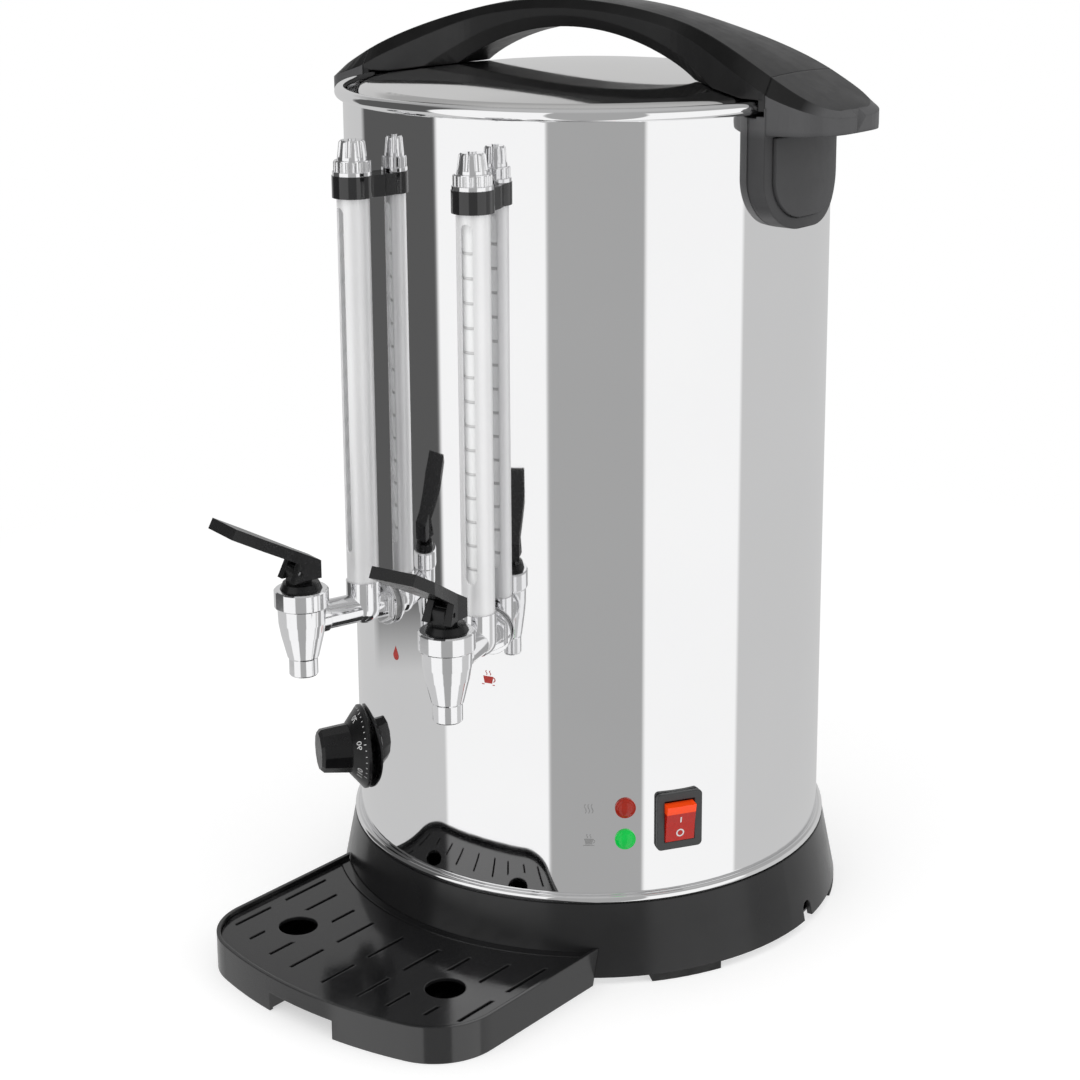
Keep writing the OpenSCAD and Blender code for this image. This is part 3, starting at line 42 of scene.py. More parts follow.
# Where the CAD part has these, in metres and degrees; azimuths run from the front toward +X
BODY_R = 0.135
GAUGE_AZ, GAUGE_R = 16.1, 0.150
WINDOW_LOW, WINDOW_HIGH = 0.2265, 0.4105
KNOB_AZ, KNOB_Z = -34.0, 0.093
DIAL_R, DIAL_IN, DIAL_LOW, DIAL_HIGH = 0.024, 0.0151, 0.1374, 0.1448
SWITCH_AZ, SWITCH_Z, SWITCH_R, ROCKER_TILT = 59.3, 0.0875, 0.1332, 9


# ------------------------------------------------------------------ shader nodes

def feed(nt, value, socket):
    """Links value to the socket, or sets it there if it is plain."""
    if isinstance(value, bpy.types.NodeSocket):
        nt.links.new(value, socket)
    else:
        socket.default_value = value


def add_node(nt, kind, inputs=None, **settings):
    """New node. inputs gives, by socket name or number, a plain value or the socket to link."""
    node = nt.nodes.new(kind)
    for key, value in settings.items():
        setattr(node, key, value)
    for key, value in (inputs or {}).items():
        feed(nt, value, node.inputs[key])
    return node


def new_material(name):
    mat = bpy.data.materials.new(name)
    mat.use_nodes = True
    nt = mat.node_tree
    nt.nodes.clear()
    bsdf = add_node(nt, "ShaderNodeBsdfPrincipled")
    add_node(nt, "ShaderNodeOutputMaterial", {"Surface": bsdf.outputs[0]})
    return mat, nt, bsdf


def principled(mat):
    return next(n for n in mat.node_tree.nodes if n.type == "BSDF_PRINCIPLED")


def object_place(nt):
    return add_node(nt, "ShaderNodeTexCoord").outputs["Object"]


def axes(nt, vector):
    return add_node(nt, "ShaderNodeSeparateXYZ", {0: vector}).outputs


def noise_at(nt, place, scale, detail=3.0, rough=0.5, stretch=None):
    if stretch:
        place = add_node(nt, "ShaderNodeMapping", {"Vector": place, "Scale": stretch}).outputs[0]
    return add_node(nt, "ShaderNodeTexNoise", {
        "Vector": place, "Scale": scale, "Detail": detail, "Roughness": rough,
    }).outputs["Fac"]


def mapped(nt, value, lo, hi, from_lo=0.3, from_hi=0.7):
    """Maps value from the range from_lo to from_hi onto lo to hi; the default suits a noise."""
    return add_node(nt, "ShaderNodeMapRange", {
        "Value": value, "From Min": from_lo, "From Max": from_hi, "To Min": lo, "To Max": hi,
    }).outputs["Result"]


def calc(nt, operation, *values):
    return add_node(nt, "ShaderNodeMath", dict(enumerate(values)), operation=operation).outputs[0]


def blend_value(nt, factor, a, b):
    """a where factor is 0, b where it is 1."""
    return add_node(nt, "ShaderNodeMix", {0: factor, 2: a, 3: b}).outputs[0]


def blend_color(nt, factor, a, b):
    return add_node(nt, "ShaderNodeMix", {0: factor, 6: a, 7: b}, data_type="RGBA").outputs[2]


def two_tone(nt, factor, lo, hi, lo_at=0.0, hi_at=1.0):
    ramp = add_node(nt, "ShaderNodeValToRGB", {"Fac": factor})
    for element, at, color in zip(ramp.color_ramp.elements, (lo_at, hi_at), (lo, hi)):
        element.position = at
        element.color = (*color, 1)
    return ramp.outputs["Color"]


# ------------------------------------------------------------------ materials

def surface(name, color, rough, metallic=0.0, vary=0.06, rough_vary=0.05, scale=30.0,
            grain=0.2, grain_scale=1500.0, grain_dist=0.0002, stretch=None, bevel=0.0,
            specular=0.5, wear=0.0):
    """Moulded, painted or polished surface: broad patches of colour, uneven roughness, fine
    grain in the relief, edges rounded by bevel and worn paler. Lengths in metres."""
    mat, nt, bsdf = new_material(name)
    place = object_place(nt)
    bsdf.inputs["Metallic"].default_value = metallic
    bsdf.inputs["IOR"].default_value = 1.5
    bsdf.inputs["Specular IOR Level"].default_value = specular
    tone = two_tone(nt, noise_at(nt, place, scale, 4.0, 0.55),
                    [c * (1 - vary) for c in color], [min(1.0, c * (1 + vary)) for c in color],
                    0.3, 0.7)
    if wear > 0:
        edges = add_node(nt, "ShaderNodeNewGeometry").outputs["Pointiness"]
        worn = (*[min(1.0, c * 1.8 + 0.02) for c in color], 1)
        tone = blend_color(nt, mapped(nt, edges, 0.0, wear, 0.52, 0.60), tone, worn)
    feed(nt, tone, bsdf.inputs["Base Color"])
    smears = noise_at(nt, place, scale * 3.3, 5.0, 0.6, stretch)
    feed(nt, mapped(nt, smears, max(0.0, rough - rough_vary), rough + rough_vary),
         bsdf.inputs["Roughness"])
    relief = {
        "Strength": grain, "Distance": grain_dist,
        "Height": noise_at(nt, place, grain_scale, 2.0, 0.5, stretch),
    }
    if bevel > 0:
        rounded = add_node(nt, "ShaderNodeBevel", {"Radius": bevel}, samples=4)
        relief["Normal"] = rounded.outputs[0]
    feed(nt, add_node(nt, "ShaderNodeBump", relief).outputs[0], bsdf.inputs["Normal"])
    return mat


# Where the painted light and shade by slope change their grey: by how far the face looks up, by
# height in metres, and by distance from the middle in metres
SHADED_BAND_SLOPE, PAINTED_TOP_SLOPE = (0.25, 0.35), (0.765, 0.785)
PAINTED_WING_SIDE_Z = (0.4515, 0.4565)
NOSE_X = (0.160, 0.170)


def paint_light_by_slope(mat, band, top, wing_side_light=None):
    """Painted light and shade: greys for the chamfer band (painted shade), which ends before the
    wings' noses, and for the top, picked by which way each face looks, and, where it is given,
    for the wing's side, picked by height."""
    nt = mat.node_tree
    base = principled(mat).inputs["Base Color"]
    tone = base.links[0].from_socket
    upward = axes(nt, add_node(nt, "ShaderNodeNewGeometry").outputs["True Normal"])["Z"]
    place = axes(nt, object_place(nt))
    shaded_band_mask = calc(nt, "MULTIPLY", mapped(nt, upward, 0.0, 1.0, *SHADED_BAND_SLOPE),
                   mapped(nt, calc(nt, "ABSOLUTE", place["X"]), 1.0, 0.0, *NOSE_X))
    light_and_shade_layers = [(shaded_band_mask, band), (mapped(nt, upward, 0.0, 1.0, *PAINTED_TOP_SLOPE), top)]
    if wing_side_light is not None:
        light_and_shade_layers.insert(0, (mapped(nt, place["Z"], 0.0, 1.0, *PAINTED_WING_SIDE_Z), wing_side_light))
    # Each layer lays its grey of painted light and shade over the plastic's own tone
    for factor, grey in light_and_shade_layers:
        tone = blend_color(nt, factor, tone, (grey, grey, grey * 1.03, 1))
    feed(nt, tone, base)


def lens(name, color, glow, rough=0.12):
    """Clear coloured plastic with a lamp behind it."""
    mat, nt, bsdf = new_material(name)
    place = object_place(nt)
    cloud = noise_at(nt, place, 260, 3.0, 0.5)
    tone = two_tone(nt, cloud, [c * 0.92 for c in color], [min(1.0, c * 1.07) for c in color],
                    0.25, 0.75)
    feed(nt, tone, bsdf.inputs["Base Color"])
    feed(nt, mapped(nt, cloud, rough - 0.04, rough + 0.05), bsdf.inputs["Roughness"])
    bsdf.inputs["Transmission Weight"].default_value = 0.25
    bsdf.inputs["Specular IOR Level"].default_value = 0.3
    bsdf.inputs["Coat Weight"].default_value = 0.08
    bsdf.inputs["Emission Color"].default_value = (*color, 1)
    bsdf.inputs["Emission Strength"].default_value = glow
    ripple = add_node(nt, "ShaderNodeBump", {
        "Strength": 0.08, "Distance": 0.0001, "Height": noise_at(nt, place, 700, 2.0, 0.5),
    })
    feed(nt, ripple.outputs[0], bsdf.inputs["Normal"])
    return mat


# Between these heights the rocker's red turns into the painted light of its upper end
PAINTED_LIGHT_END_Z = (0.0922, 0.0926)


def rocker_with_painted_light():
    """Red lens with the lamp inside it; its upper end, which faces up, gets a brighter red and a
    stronger glow as painted light.
    """
    mat = lens("rocker_red", (0.52, 0.018, 0.010), 0.3)
    nt, bsdf = mat.node_tree, principled(mat)
    lit = mapped(nt, axes(nt, object_place(nt))["Z"], 0.0, 1.0, *PAINTED_LIGHT_END_Z)
    base, glow = bsdf.inputs["Base Color"], bsdf.inputs["Emission Color"]
    # Painted light: the upper end gets a brighter red and a stronger glow than the lamp gives the
    # rest
    feed(nt, blend_color(nt, lit, base.links[0].from_socket, (0.95, 0.07, 0.008, 1)), base)
    feed(nt, blend_color(nt, lit, (0.22, 0.008, 0.004, 1), (1.0, 0.085, 0.01, 1)), glow)
    return mat


def glass_with_painted_glow():
    """Gauge glass in its slotted guard: pale, nearly opaque, with a faint white glow that is
    painted light, as no lamp is behind it.
    """
    mat, nt, bsdf = new_material("gauge_glass")
    cloud = noise_at(nt, object_place(nt), 120, 3.0, 0.5)
    tone = two_tone(nt, cloud, (0.95, 0.955, 0.955), (0.98, 0.985, 0.985))
    feed(nt, tone, bsdf.inputs["Base Color"])
    feed(nt, mapped(nt, cloud, 0.03, 0.08), bsdf.inputs["Roughness"])
    bsdf.inputs["Alpha"].default_value = 0.96
    # Painted light: a faint white glow in place of the light that reaches the glass through the
    # guard's slots
    bsdf.inputs["Emission Color"].default_value = (1, 1, 1, 1)
    bsdf.inputs["Emission Strength"].default_value = 0.12
    bsdf.inputs["IOR"].default_value = 1.47
    return mat


# Metals
polished = surface("polished_steel", (0.90, 0.90, 0.905), 0.035, 1.0, vary=0.01,
                   rough_vary=0.012, scale=9, grain=0.025, grain_scale=26, grain_dist=0.0006,
                   stretch=(1, 1, 0.22))
lid_steel = surface("polished_lid_steel", (0.86, 0.855, 0.85), 0.06, 1.0, vary=0.015,
                    rough_vary=0.02, scale=14, grain=0.03, grain_scale=40, grain_dist=0.0004)
chrome = surface("chrome_plating", (0.90, 0.90, 0.91), 0.05, 1.0, vary=0.012, rough_vary=0.02,
                 scale=60, grain=0.03, grain_scale=180, grain_dist=0.0003, bevel=0.0005)
satin = surface("satin_steel", (0.97, 0.97, 0.975), 0.38, 0.3, vary=0.02, scale=25, grain=0.08,
                grain_scale=900, grain_dist=0.0001, stretch=(1, 1, 0.06), bevel=0.0003)
sheet = surface("tank_sheet", (0.74, 0.74, 0.75), 0.3, 1.0, vary=0.04, rough_vary=0.08,
                scale=20, grain=0.08, grain_scale=500, grain_dist=0.0001)
screw_steel = surface("screw_steel", (0.66, 0.66, 0.67), 0.28, 1.0, rough_vary=0.1, scale=120,
                      grain=0.1, grain_scale=900, grain_dist=0.0001)
aluminium = surface("cast_aluminium", (0.70, 0.70, 0.71), 0.5, 1.0, rough_vary=0.1, scale=80,
                    grain=0.3, grain_scale=700)
copper = surface("copper_tube", (0.75, 0.42, 0.28), 0.3, 1.0, vary=0.1, rough_vary=0.1,
                 scale=90, grain=0.1, grain_scale=900, grain_dist=0.0001)

# Plastics and rubbers
JET = (0.006, 0.006, 0.0065)
GREY = (0.050, 0.050, 0.052)
skirt_black = surface("skirt_black_plastic", (0.013, 0.013, 0.0135), 0.2, vary=0.2, scale=18,
                      grain=0.05, grain_scale=350, bevel=0.0009, specular=0.42, wear=0.2)
tray_black = surface("tray_black_plastic", JET, 0.12, vary=0.2, rough_vary=0.04, scale=18,
                     grain=0.05, grain_scale=350, bevel=0.0009, specular=0.85, wear=0.3)
lever_black = surface("lever_black_plastic", JET, 0.26, vary=0.2, rough_vary=0.07, scale=60,
                      grain=0.08, grain_scale=1600, grain_dist=0.0001, bevel=0.0006,
                      specular=0.3, wear=0.35)
clamp_black = surface("clamp_black_plastic", JET, 0.05, vary=0.2, rough_vary=0.02, scale=60,
                      grain=0.03, grain_scale=900, grain_dist=0.0001, bevel=0.0006,
                      specular=0.8, wear=0.2)
knob_black = surface("knob_black_plastic", JET, 0.3, vary=0.2, rough_vary=0.07, scale=60,
                     grain=0.12, grain_scale=1600, grain_dist=0.0001, bevel=0.0006,
                     specular=0.35, wear=0.3)
bezel_grey = surface("bezel_grey_plastic", (0.030, 0.032, 0.033), 0.34, vary=0.1,
                     rough_vary=0.06, scale=60, grain=0.15, grain_scale=1600,
                     grain_dist=0.0001, bevel=0.0007, wear=0.2)
handle_black = surface("satin_black_plastic", (0.015, 0.015, 0.0155), 0.36, vary=0.16,
                       rough_vary=0.06, scale=22, grain=0.18, grain_dist=0.0001,
                       bevel=0.0012, specular=0.42)
# Painted shade on the handle's chamfer band, and a slightly lighter top as painted light, set by
# which way the faces look
paint_light_by_slope(handle_black, band=0.003, top=0.019)
bracket_grey = surface("bracket_plastic", GREY, 0.42, vary=0.1, rough_vary=0.06, scale=25,
                       grain=0.22, grain_dist=0.0001, bevel=0.0016, specular=0.42)
# Painted shade on the bracket's chamfer band and darker top, and painted light on the lighter
# wing side
paint_light_by_slope(bracket_grey, band=0.003, top=0.034, wing_side_light=0.085)
cover_grey = surface("satin_grey_plastic", GREY, 0.46, vary=0.1, rough_vary=0.06, scale=25,
                     grain=0.25, grain_dist=0.0001, bevel=0.0012, specular=0.4, wear=0.15)
beige = surface("beige_plastic", (0.62, 0.56, 0.44), 0.5, vary=0.05, rough_vary=0.06, scale=50,
                grain_scale=1000, grain_dist=0.0001)
rubber = surface("dark_rubber", (0.02, 0.02, 0.02), 0.75, vary=0.2, rough_vary=0.1, scale=60,
                 grain=0.4, grain_scale=1200)
silicone = surface("silicone_rubber", (0.45, 0.45, 0.45), 0.45, vary=0.1, rough_vary=0.1,
                   scale=60, grain=0.3, grain_scale=1200)

# Lamps and glass
red_lens = lens("red_lens", (0.42, 0.024, 0.010), 0.10)
green_lens = lens("green_lens", (0.002, 0.50, 0.070), 0.30)
rocker_red = rocker_with_painted_light()
glass = glass_with_painted_glow()

# Print
INK = {"scale": 200, "grain_scale": 2500, "grain_dist": 0.00003}
white_ink = surface("white_print", (0.80, 0.80, 0.80), 0.5, vary=0.05, **INK)
grey_ink = surface("grey_print", (0.30, 0.30, 0.30), 0.5, vary=0.08, **INK)
red_ink = surface("red_print", (0.52, 0.035, 0.025), 0.45, vary=0.08, **INK)

# A node's finish goes by its name, or else by its material slot
NODE_FINISH = {
    "lid": lid_steel, "base_skirt": skirt_black, "thermostat_knob": knob_black,
    "switch_housing": bezel_grey, "switch_rocker": rocker_red,
}
for side in ("left", "right"):
    NODE_FINISH["bracket_" + side] = bracket_grey
    NODE_FINISH["tap_lever_" + side] = lever_black
    NODE_FINISH["tap_bonnet_" + side] = lever_black
    NODE_FINISH["gauge_clamp_" + side] = clamp_black
SLOT_FINISH = {
    "polished_steel": polished, "steel_sheet": sheet, "chrome": chrome, "satin_steel": satin,
    "screw_steel": screw_steel, "heat_aluminium": aluminium, "copper_tube": copper,
    "black_gloss": tray_black, "black_satin": handle_black, "grey_satin": cover_grey,
    "beige_plastic": beige, "rubber": rubber, "silicone": silicone, "clear_glass": glass,
    "red_lens": red_lens, "green_lens": green_lens,
}
for part in frame["record"]["subparts"]:
    name = part["node"]
    materials = frame["nodes"][name].data.materials
    materials.clear()
    materials.append(NODE_FINISH.get(name, SLOT_FINISH[part["material_slot"]]))


# ------------------------------------------------------------------ mesh helpers

def radial_frame(az, r=0.0, z=0.0):
    """Matrix whose X points outward at az degrees from the front, Z stays up."""
    return Matrix.Rotation(radians(az - 90), 4, "Z") @ Matrix.Translation((r, 0, z))


def wall_frame(az, z, r=0.0):
    """Matrix whose Z points outward from the wall, X to the right seen from outside, Y up."""
    to_wall = Matrix(((0, 0, 1, 0), (1, 0, 0, 0), (0, 1, 0, 0), (0, 0, 0, 1)))
    return radial_frame(az, 0, z) @ to_wall @ Matrix.Translation((0, 0, r))


def new_mesh(name, verts, faces, mat, body, smooth=False):
    me = bpy.data.meshes.new(name)
    me.from_pydata([tuple(v) for v in verts], [], faces)
    me.update()
    if smooth:
        me.polygons.foreach_set("use_smooth", [True] * len(me.polygons))
    me.materials.append(mat)
    ob = bpy.data.objects.new(name, me)
    scene.collection.objects.link(ob)
    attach(ob, body)


def joined(parts):
    verts, faces = [], []
    for v, f in parts:
        k = len(verts)
        verts += v
        faces += [tuple(i + k for i in face) for face in f]
    return verts, faces


def strip_faces(steps):
    """Faces of a strip whose verts come in pairs."""
    return [(2 * k, 2 * k + 1, 2 * k + 3, 2 * k + 2) for k in range(steps)]


# ------------------------------------------------------------------ scale rings on the glasses

RING_PITCH, RING_INSET_TOP, RING_INSET_LOW = 0.0127, 0.0115, 0.006
# Radius and height of the four corners of a ring's section
RING_SECTION = ((0.00553, -0.0008), (0.00572, -0.0007), (0.00572, 0.0007), (0.00553, 0.0008))
RING_STEPS = 40


def scale_ring(z):
    verts, faces = [], []
    for k in range(RING_STEPS):
        a = 2 * pi * k / RING_STEPS
        verts += [(r * cos(a), r * sin(a), z + h) for r, h in RING_SECTION]
        here, there = 4 * k, 4 * ((k + 1) % RING_STEPS)
        for j in range(4):
            i = (j + 1) % 4
            faces.append((here + j, there + j, there + i, here + i))
    return verts, faces


rings = []
z = WINDOW_HIGH - RING_INSET_TOP
while z > WINDOW_LOW + RING_INSET_LOW:
    rings.append(scale_ring(z))
    z -= RING_PITCH
verts, faces = joined(rings)
for side, name in ((-1, "left"), (1, "right")):
    m = radial_frame(side * GAUGE_AZ, GAUGE_R)
    new_mesh("gauge_marks_" + name, [m @ Vector(v) for v in verts], faces, white_ink,
             "housing", smooth=True)


# ------------------------------------------------------------------ printed marks

# How far the print stands off the wall, and off the dial and the rocker
WALL_FILM, PLASTIC_FILM = 0.00003, 0.00005


def glyphs(text, size):
    """Flat verts and faces of a short text in the built-in font, centred on the origin."""
    curve = bpy.data.curves.new("glyph", "FONT")
    curve.body, curve.size = text, size
    curve.align_x, curve.align_y = "CENTER", "CENTER"
    curve.resolution_u = 3
    ob = bpy.data.objects.new("glyph", curve)
    scene.collection.objects.link(ob)
    bpy.context.view_layer.update()
    shown = ob.evaluated_get(bpy.context.evaluated_depsgraph_get())
    me = bpy.data.meshes.new_from_object(shown)
    verts = [(v.co.x, v.co.y, 0.0) for v in me.vertices]
    faces = [tuple(f.vertices) for f in me.polygons]
    bpy.data.objects.remove(ob)
    bpy.data.curves.remove(curve)
    bpy.data.meshes.remove(me)
    return verts, faces


def area(points):
    return [(x, y, 0.0) for x, y in points], [tuple(range(len(points)))]


def arc_band(cx, cy, r_in, r_out, start=0.0, stop=360.0, steps=28):
    verts = []
    for k in range(steps + 1):
        t = radians(start + (stop - start) * k / steps)
        verts += [(cx + r * cos(t), cy + r * sin(t), 0.0) for r in (r_in, r_out)]
    return verts, strip_faces(steps)


def wave(cx, y0, y1, swing, width, steps=14):
    verts = []
    for k in range(steps + 1):
        y = y0 + (y1 - y0) * k / steps
        x = cx + swing * sin(2 * pi * k / steps)
        verts += [(x - width / 2, y, 0.0), (x + width / 2, y, 0.0)]
    return verts, strip_faces(steps)


def scaled(part, k):
    return [(x * k, y * k, z * k) for x, y, z in part[0]], part[1]


def on_wall(verts, az, z):
    """Wraps flat verts (x right, y up, z out) round the body at az, z."""
    out = []
    for x, y, h in verts:
        a = radians(az) + x / BODY_R
        r = BODY_R + WALL_FILM + h
        out.append((r * sin(a), -r * cos(a), z + y))
    return out


# Generic pictograms, drawn in millimetres round their own middle
DROP = area([(0, 5.2)] + [(2.9 * cos(radians(t)), -1.2 + 2.9 * sin(radians(t)))
                          for t in range(28, -209, -12)])
CUP = joined([
    area([(-3.0, 1.4), (-2.2, -2.6), (2.2, -2.6), (3.0, 1.4)]),
    area([(-3.8, -3.6), (3.8, -3.6), (3.8, -3.1), (-3.8, -3.1)]),
    arc_band(2.7, -0.4, 0.9, 1.5, -80, 80, 12),
    wave(-1.1, 2.0, 4.6, 0.35, 0.5),
    wave(1.1, 2.0, 4.6, 0.35, 0.5),
])
HEAT = joined([wave(x, -2.6, 2.6, 0.45, 0.55) for x in (-1.8, 0.0, 1.8)])
for name, drawing, size, az, z, mat in (
    ("mark_water", DROP, 0.9, -13.0, 0.1655, red_ink),
    ("mark_tea", CUP, 1.0, 15.3, 0.1665, red_ink),
    ("mark_heat", HEAT, 1.0, 38.5, 0.097, grey_ink),
    ("mark_warm", CUP, 0.8, 38.5, 0.0785, grey_ink),
):
    verts, faces = scaled(scaled(drawing, MM), size)
    new_mesh(name, on_wall(verts, az, z), faces, mat, "housing")

# The dial's numbers and ticks stand at even angles, counted from its top
DIAL_START, NUMBER_TURN, TICK_TURN = -150, 54, 9
NUMBERS = ("0", "30", "50", "70", "90", "110")
NUMBER_SIZE, NUMBER_R, TICK_R = 0.0052, 0.0188, 0.0222
TICKS, LONG_TICK_EVERY = 31, 6
# Half a tick's width, its outer end, and the inner end of a long one, in millimetres from TICK_R
TICK_HALF, TICK_OUT, LONG_TICK_IN = 0.22, 1.0, -0.9
# The outward part of a step along the cone's face
CONE_RUN = 0.77


def on_dial(part, mid_r, angle):
    """Lays flat verts (x along the rim, y outward) on the dial's cone."""
    out = []
    for x, y, z in part[0]:
        r = mid_r + y * CONE_RUN
        t = radians(angle) - x / mid_r
        rise = (DIAL_R - r) / (DIAL_R - DIAL_IN) * (DIAL_HIGH - DIAL_LOW)
        out.append((r * sin(t), r * cos(t), DIAL_LOW + rise + PLASTIC_FILM))
    return out, part[1]


parts = [on_dial(glyphs(word, NUMBER_SIZE), NUMBER_R, DIAL_START + i * NUMBER_TURN)
         for i, word in enumerate(NUMBERS)]
for i in range(TICKS):
    inner = LONG_TICK_IN if i % LONG_TICK_EVERY == 0 else 0.0
    tick = area([(-TICK_HALF, inner), (TICK_HALF, inner),
                 (TICK_HALF, TICK_OUT), (-TICK_HALF, TICK_OUT)])
    parts.append(on_dial(scaled(tick, MM), TICK_R, DIAL_START + i * TICK_TURN))
verts, faces = joined(parts)
m = wall_frame(KNOB_AZ, KNOB_Z)
new_mesh("dial_marks", [m @ Vector(v) for v in verts], faces, white_ink, "knob")

# I and O on the rocker, whose face rises from its pivot line toward both ends
ROCKER_FACE, ROCKER_RISE, ROCKER_HALF = 0.0057, 0.0005, 0.0106
verts, faces = joined([
    scaled(area([(-0.4, 0.4), (0.4, 0.4), (0.4, 3.8), (-0.4, 3.8)]), MM),
    scaled(arc_band(0, -5.9, 1.55, 2.3), MM),
])
verts = [(x, y, ROCKER_FACE + ROCKER_RISE * abs(y) / ROCKER_HALF + PLASTIC_FILM)
         for x, y, z in verts]
m = wall_frame(SWITCH_AZ, SWITCH_Z, SWITCH_R) @ Matrix.Rotation(radians(ROCKER_TILT), 4, "X")
new_mesh("rocker_marks", [m @ Vector(v) for v in verts], faces, white_ink,
         "rocker")


# ------------------------------------------------------------------ floor

FLOOR_RADIUS, FLOOR_DROP = 14, 0.0002
FLOOR_FADE = (0.35, 0.85)


def floor_material():
    """Pale floor. The camera sees the object's shadow on it near the object, and plain white
    from the far end of FLOOR_FADE on."""
    mat, nt, lit = new_material("floor_white")
    lit.inputs["Base Color"].default_value = (0.86, 0.86, 0.86, 1)
    lit.inputs["Roughness"].default_value = 0.9
    lit.inputs["Specular IOR Level"].default_value = 0.1
    shaded = add_node(nt, "ShaderNodeBsdfDiffuse", {"Color": (0.62, 0.62, 0.62, 1)})
    glow = add_node(nt, "ShaderNodeEmission", {"Strength": 0.52})
    near = add_node(nt, "ShaderNodeAddShader", {0: shaded.outputs[0], 1: glow.outputs[0]})
    far = add_node(nt, "ShaderNodeEmission", {"Strength": 1.0})
    away = add_node(nt, "ShaderNodeVectorMath", {0: object_place(nt)}, operation="LENGTH")
    fade = mapped(nt, away.outputs["Value"], 0.0, 1.0, *FLOOR_FADE)
    seen = add_node(nt, "ShaderNodeMixShader", {0: fade, 1: near.outputs[0], 2: far.outputs[0]})
    pick = add_node(nt, "ShaderNodeMixShader", {
        0: add_node(nt, "ShaderNodeLightPath").outputs["Is Camera Ray"],
        1: lit.outputs[0], 2: seen.outputs[0],
    })
    out = next(n for n in nt.nodes if n.type == "OUTPUT_MATERIAL")
    feed(nt, pick.outputs[0], out.inputs["Surface"])
    return mat


floor_mesh = bpy.data.meshes.new("floor")
bm = bmesh.new()
bmesh.ops.create_circle(bm, cap_ends=True, segments=96, radius=FLOOR_RADIUS)
bm.to_mesh(floor_mesh)
bm.free()
floor_mesh.materials.append(floor_material())
floor = bpy.data.objects.new("floor", floor_mesh)
floor.location.z = -FLOOR_DROP
floor.visible_glossy = False
scene.collection.objects.link(floor)


# ------------------------------------------------------------------ studio, seen in the metal

# A grey room, its upper part and its ceiling, and between which elevations, in degrees, one
# gives way to the next
ROOM, UPPER, CEILING = 0.6, 0.4, 0.5
ROOM_TO_UPPER, UPPER_TO_CEILING = (20.0, 30.0), (45.0, 65.0)
# Plain panels round the object: from and to azimuth, lowest and highest elevation, softness of
# the sides, all in degrees, and grey
PANELS = (
    (-90, -35, -20, 90, 2.0, 0.1),
    (-35, 20, -90, 50, 1.0, 1.0),
    (20, 65, -90, 90, 1.0, 0.4),
    (65, 115, -90, 25, 1.0, 1.0),
)
PANEL_END_SOFT = 1.0
PLAIN_LEVEL = 0.78

world = bpy.data.worlds.new("studio")
scene.world = world
world.use_nodes = True
nt = world.node_tree
nt.nodes.clear()

look = axes(nt, add_node(nt, "ShaderNodeTexCoord").outputs["Generated"])
azimuth = calc(nt, "ARCTAN2", look["X"], calc(nt, "MULTIPLY", look["Y"], -1.0))
azimuth = calc(nt, "MULTIPLY", azimuth, 180 / pi)
elevation = calc(nt, "MULTIPLY", calc(nt, "ARCSINE", look["Z"]), 180 / pi)


def within(value, lo, hi, soft):
    """1 between lo and hi, 0 outside, with soft edges."""
    return calc(nt, "MULTIPLY", mapped(nt, value, 0.0, 1.0, lo - soft, lo + soft),
                mapped(nt, value, 1.0, 0.0, hi - soft, hi + soft))


view = blend_value(nt, mapped(nt, elevation, 0.0, 1.0, *ROOM_TO_UPPER), ROOM, UPPER)
for start, stop, low, high, soft, grey in PANELS:
    inside = calc(nt, "MULTIPLY", within(azimuth, start, stop, soft),
                  within(elevation, low, high, PANEL_END_SOFT))
    view = blend_value(nt, inside, view, grey)
view = blend_value(nt, mapped(nt, elevation, 0.0, 1.0, *UPPER_TO_CEILING), view, CEILING)

# Glossy rays see the studio, camera and transmission rays see white, the rest a plain level
plain = add_node(nt, "ShaderNodeBackground", {"Color": (1, 1, 1, 1), "Strength": PLAIN_LEVEL})
studio = add_node(nt, "ShaderNodeBackground", {"Color": view, "Strength": 1.0})
white = add_node(nt, "ShaderNodeBackground", {"Color": (1, 1, 1, 1), "Strength": 1.0})
ray = add_node(nt, "ShaderNodeLightPath").outputs
shaded = add_node(nt, "ShaderNodeMixShader", {
    0: ray["Is Glossy Ray"], 1: plain.outputs[0], 2: studio.outputs[0],
})
straight = calc(nt, "MAXIMUM", ray["Is Camera Ray"], ray["Is Transmission Ray"])
final = add_node(nt, "ShaderNodeMixShader", {
    0: straight, 1: shaded.outputs[0], 2: white.outputs[0],
})
add_node(nt, "ShaderNodeOutputWorld", {"Surface": final.outputs[0]})


# ------------------------------------------------------------------ lights

LIGHT_AIM = Vector((0, 0, 0.25))


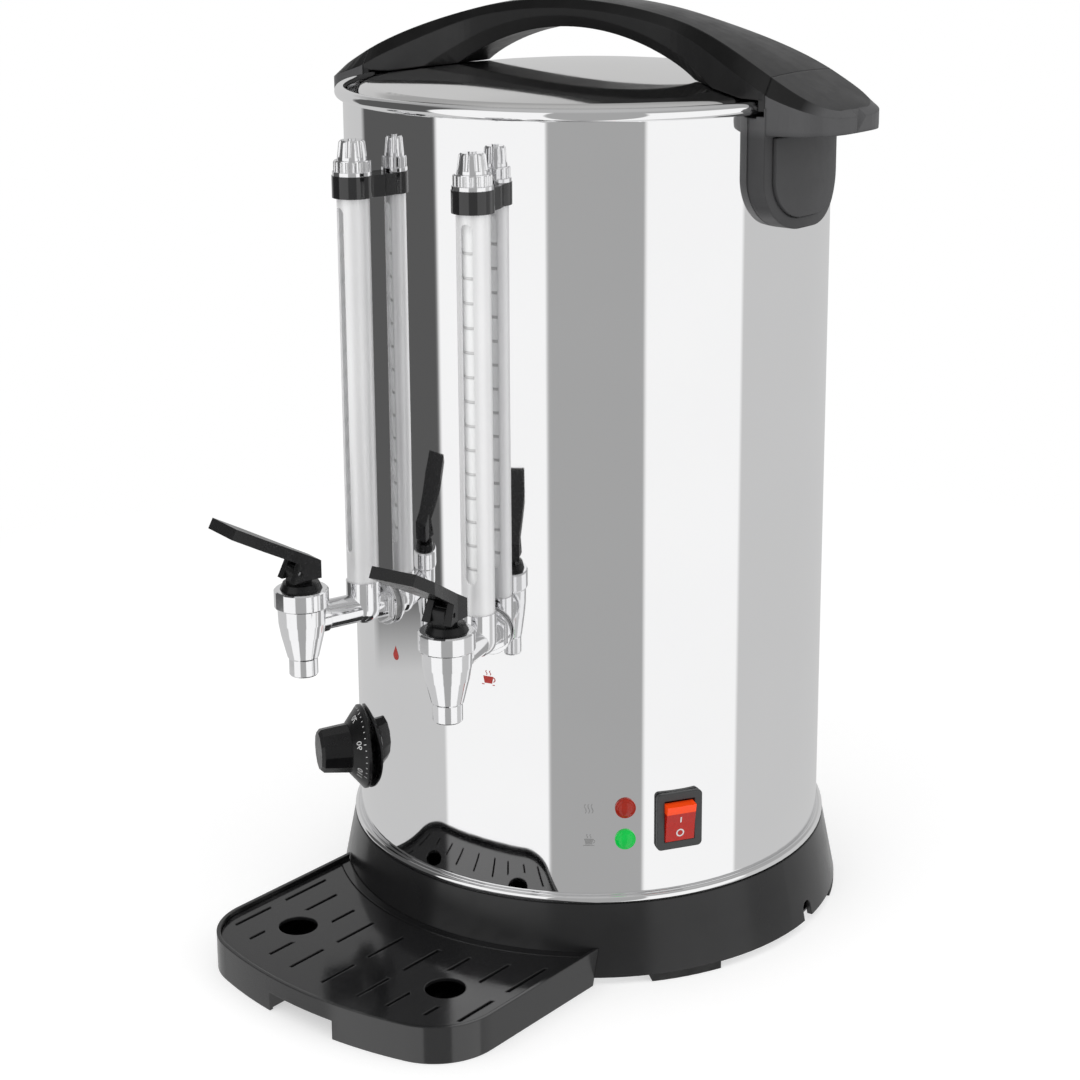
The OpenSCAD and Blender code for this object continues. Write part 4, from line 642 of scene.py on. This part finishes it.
def softbox(name, az, elevation, distance, size, radiance):
    data = bpy.data.lights.new(name, "AREA")
    data.shape = "RECTANGLE"
    data.size, data.size_y = size
    data.energy = radiance * pi * size[0] * size[1]
    ob = bpy.data.objects.new(name, data)
    a, e = radians(az), radians(elevation)
    back = Vector((sin(a) * cos(e), -cos(a) * cos(e), sin(e)))
    ob.location = LIGHT_AIM + back * distance
    ob.rotation_mode = "QUATERNION"
    ob.rotation_quaternion = back.to_track_quat("Z", "Y")
    ob.visible_glossy = False
    scene.collection.objects.link(ob)


softbox("key_box", -8, 48, 2.2, (1.3, 1.3), 1.35)
softbox("fill_box", 98, 35, 2.4, (1.2, 1.6), 1.1)


# ------------------------------------------------------------------ camera

# Where it stands: azimuth in degrees, height, distance from the axis
CAM_AZ, CAM_H, CAM_D = 38.398, 0.5945, 1.22496
# How it is turned, in degrees, and its focal length in pixels of the 1080-pixel frame
CAM_YAW, CAM_PITCH, CAM_ROLL, CAM_F = 1.272, 13.478, -0.383, 2205.5
FRAME_PIXELS, SENSOR_MM = 1080, 36

cam_data = bpy.data.cameras.new("camera")
cam_data.sensor_width = SENSOR_MM
cam_data.lens = CAM_F / FRAME_PIXELS * SENSOR_MM
cam_data.shift_y = -0.15
cam_data.clip_start, cam_data.clip_end = 0.05, 60
cam = bpy.data.objects.new("camera", cam_data)
scene.collection.objects.link(cam)
scene.camera = cam
stand = radians(CAM_AZ)
heading, dip, roll = stand + radians(CAM_YAW), radians(CAM_PITCH), radians(CAM_ROLL)
forward = Vector((-sin(heading) * cos(dip), cos(heading) * cos(dip), -sin(dip)))
right = Vector((cos(heading), sin(heading), 0))
up = right.cross(forward)
right, up = right * cos(roll) + up * sin(roll), up * cos(roll) - right * sin(roll)
cam.matrix_world = Matrix((
    (right.x, up.x, -forward.x, CAM_D * sin(stand)),
    (right.y, up.y, -forward.y, -CAM_D * cos(stand)),
    (right.z, up.z, -forward.z, CAM_H),
    (0, 0, 0, 1),
))

scene.view_settings.view_transform = "Standard"
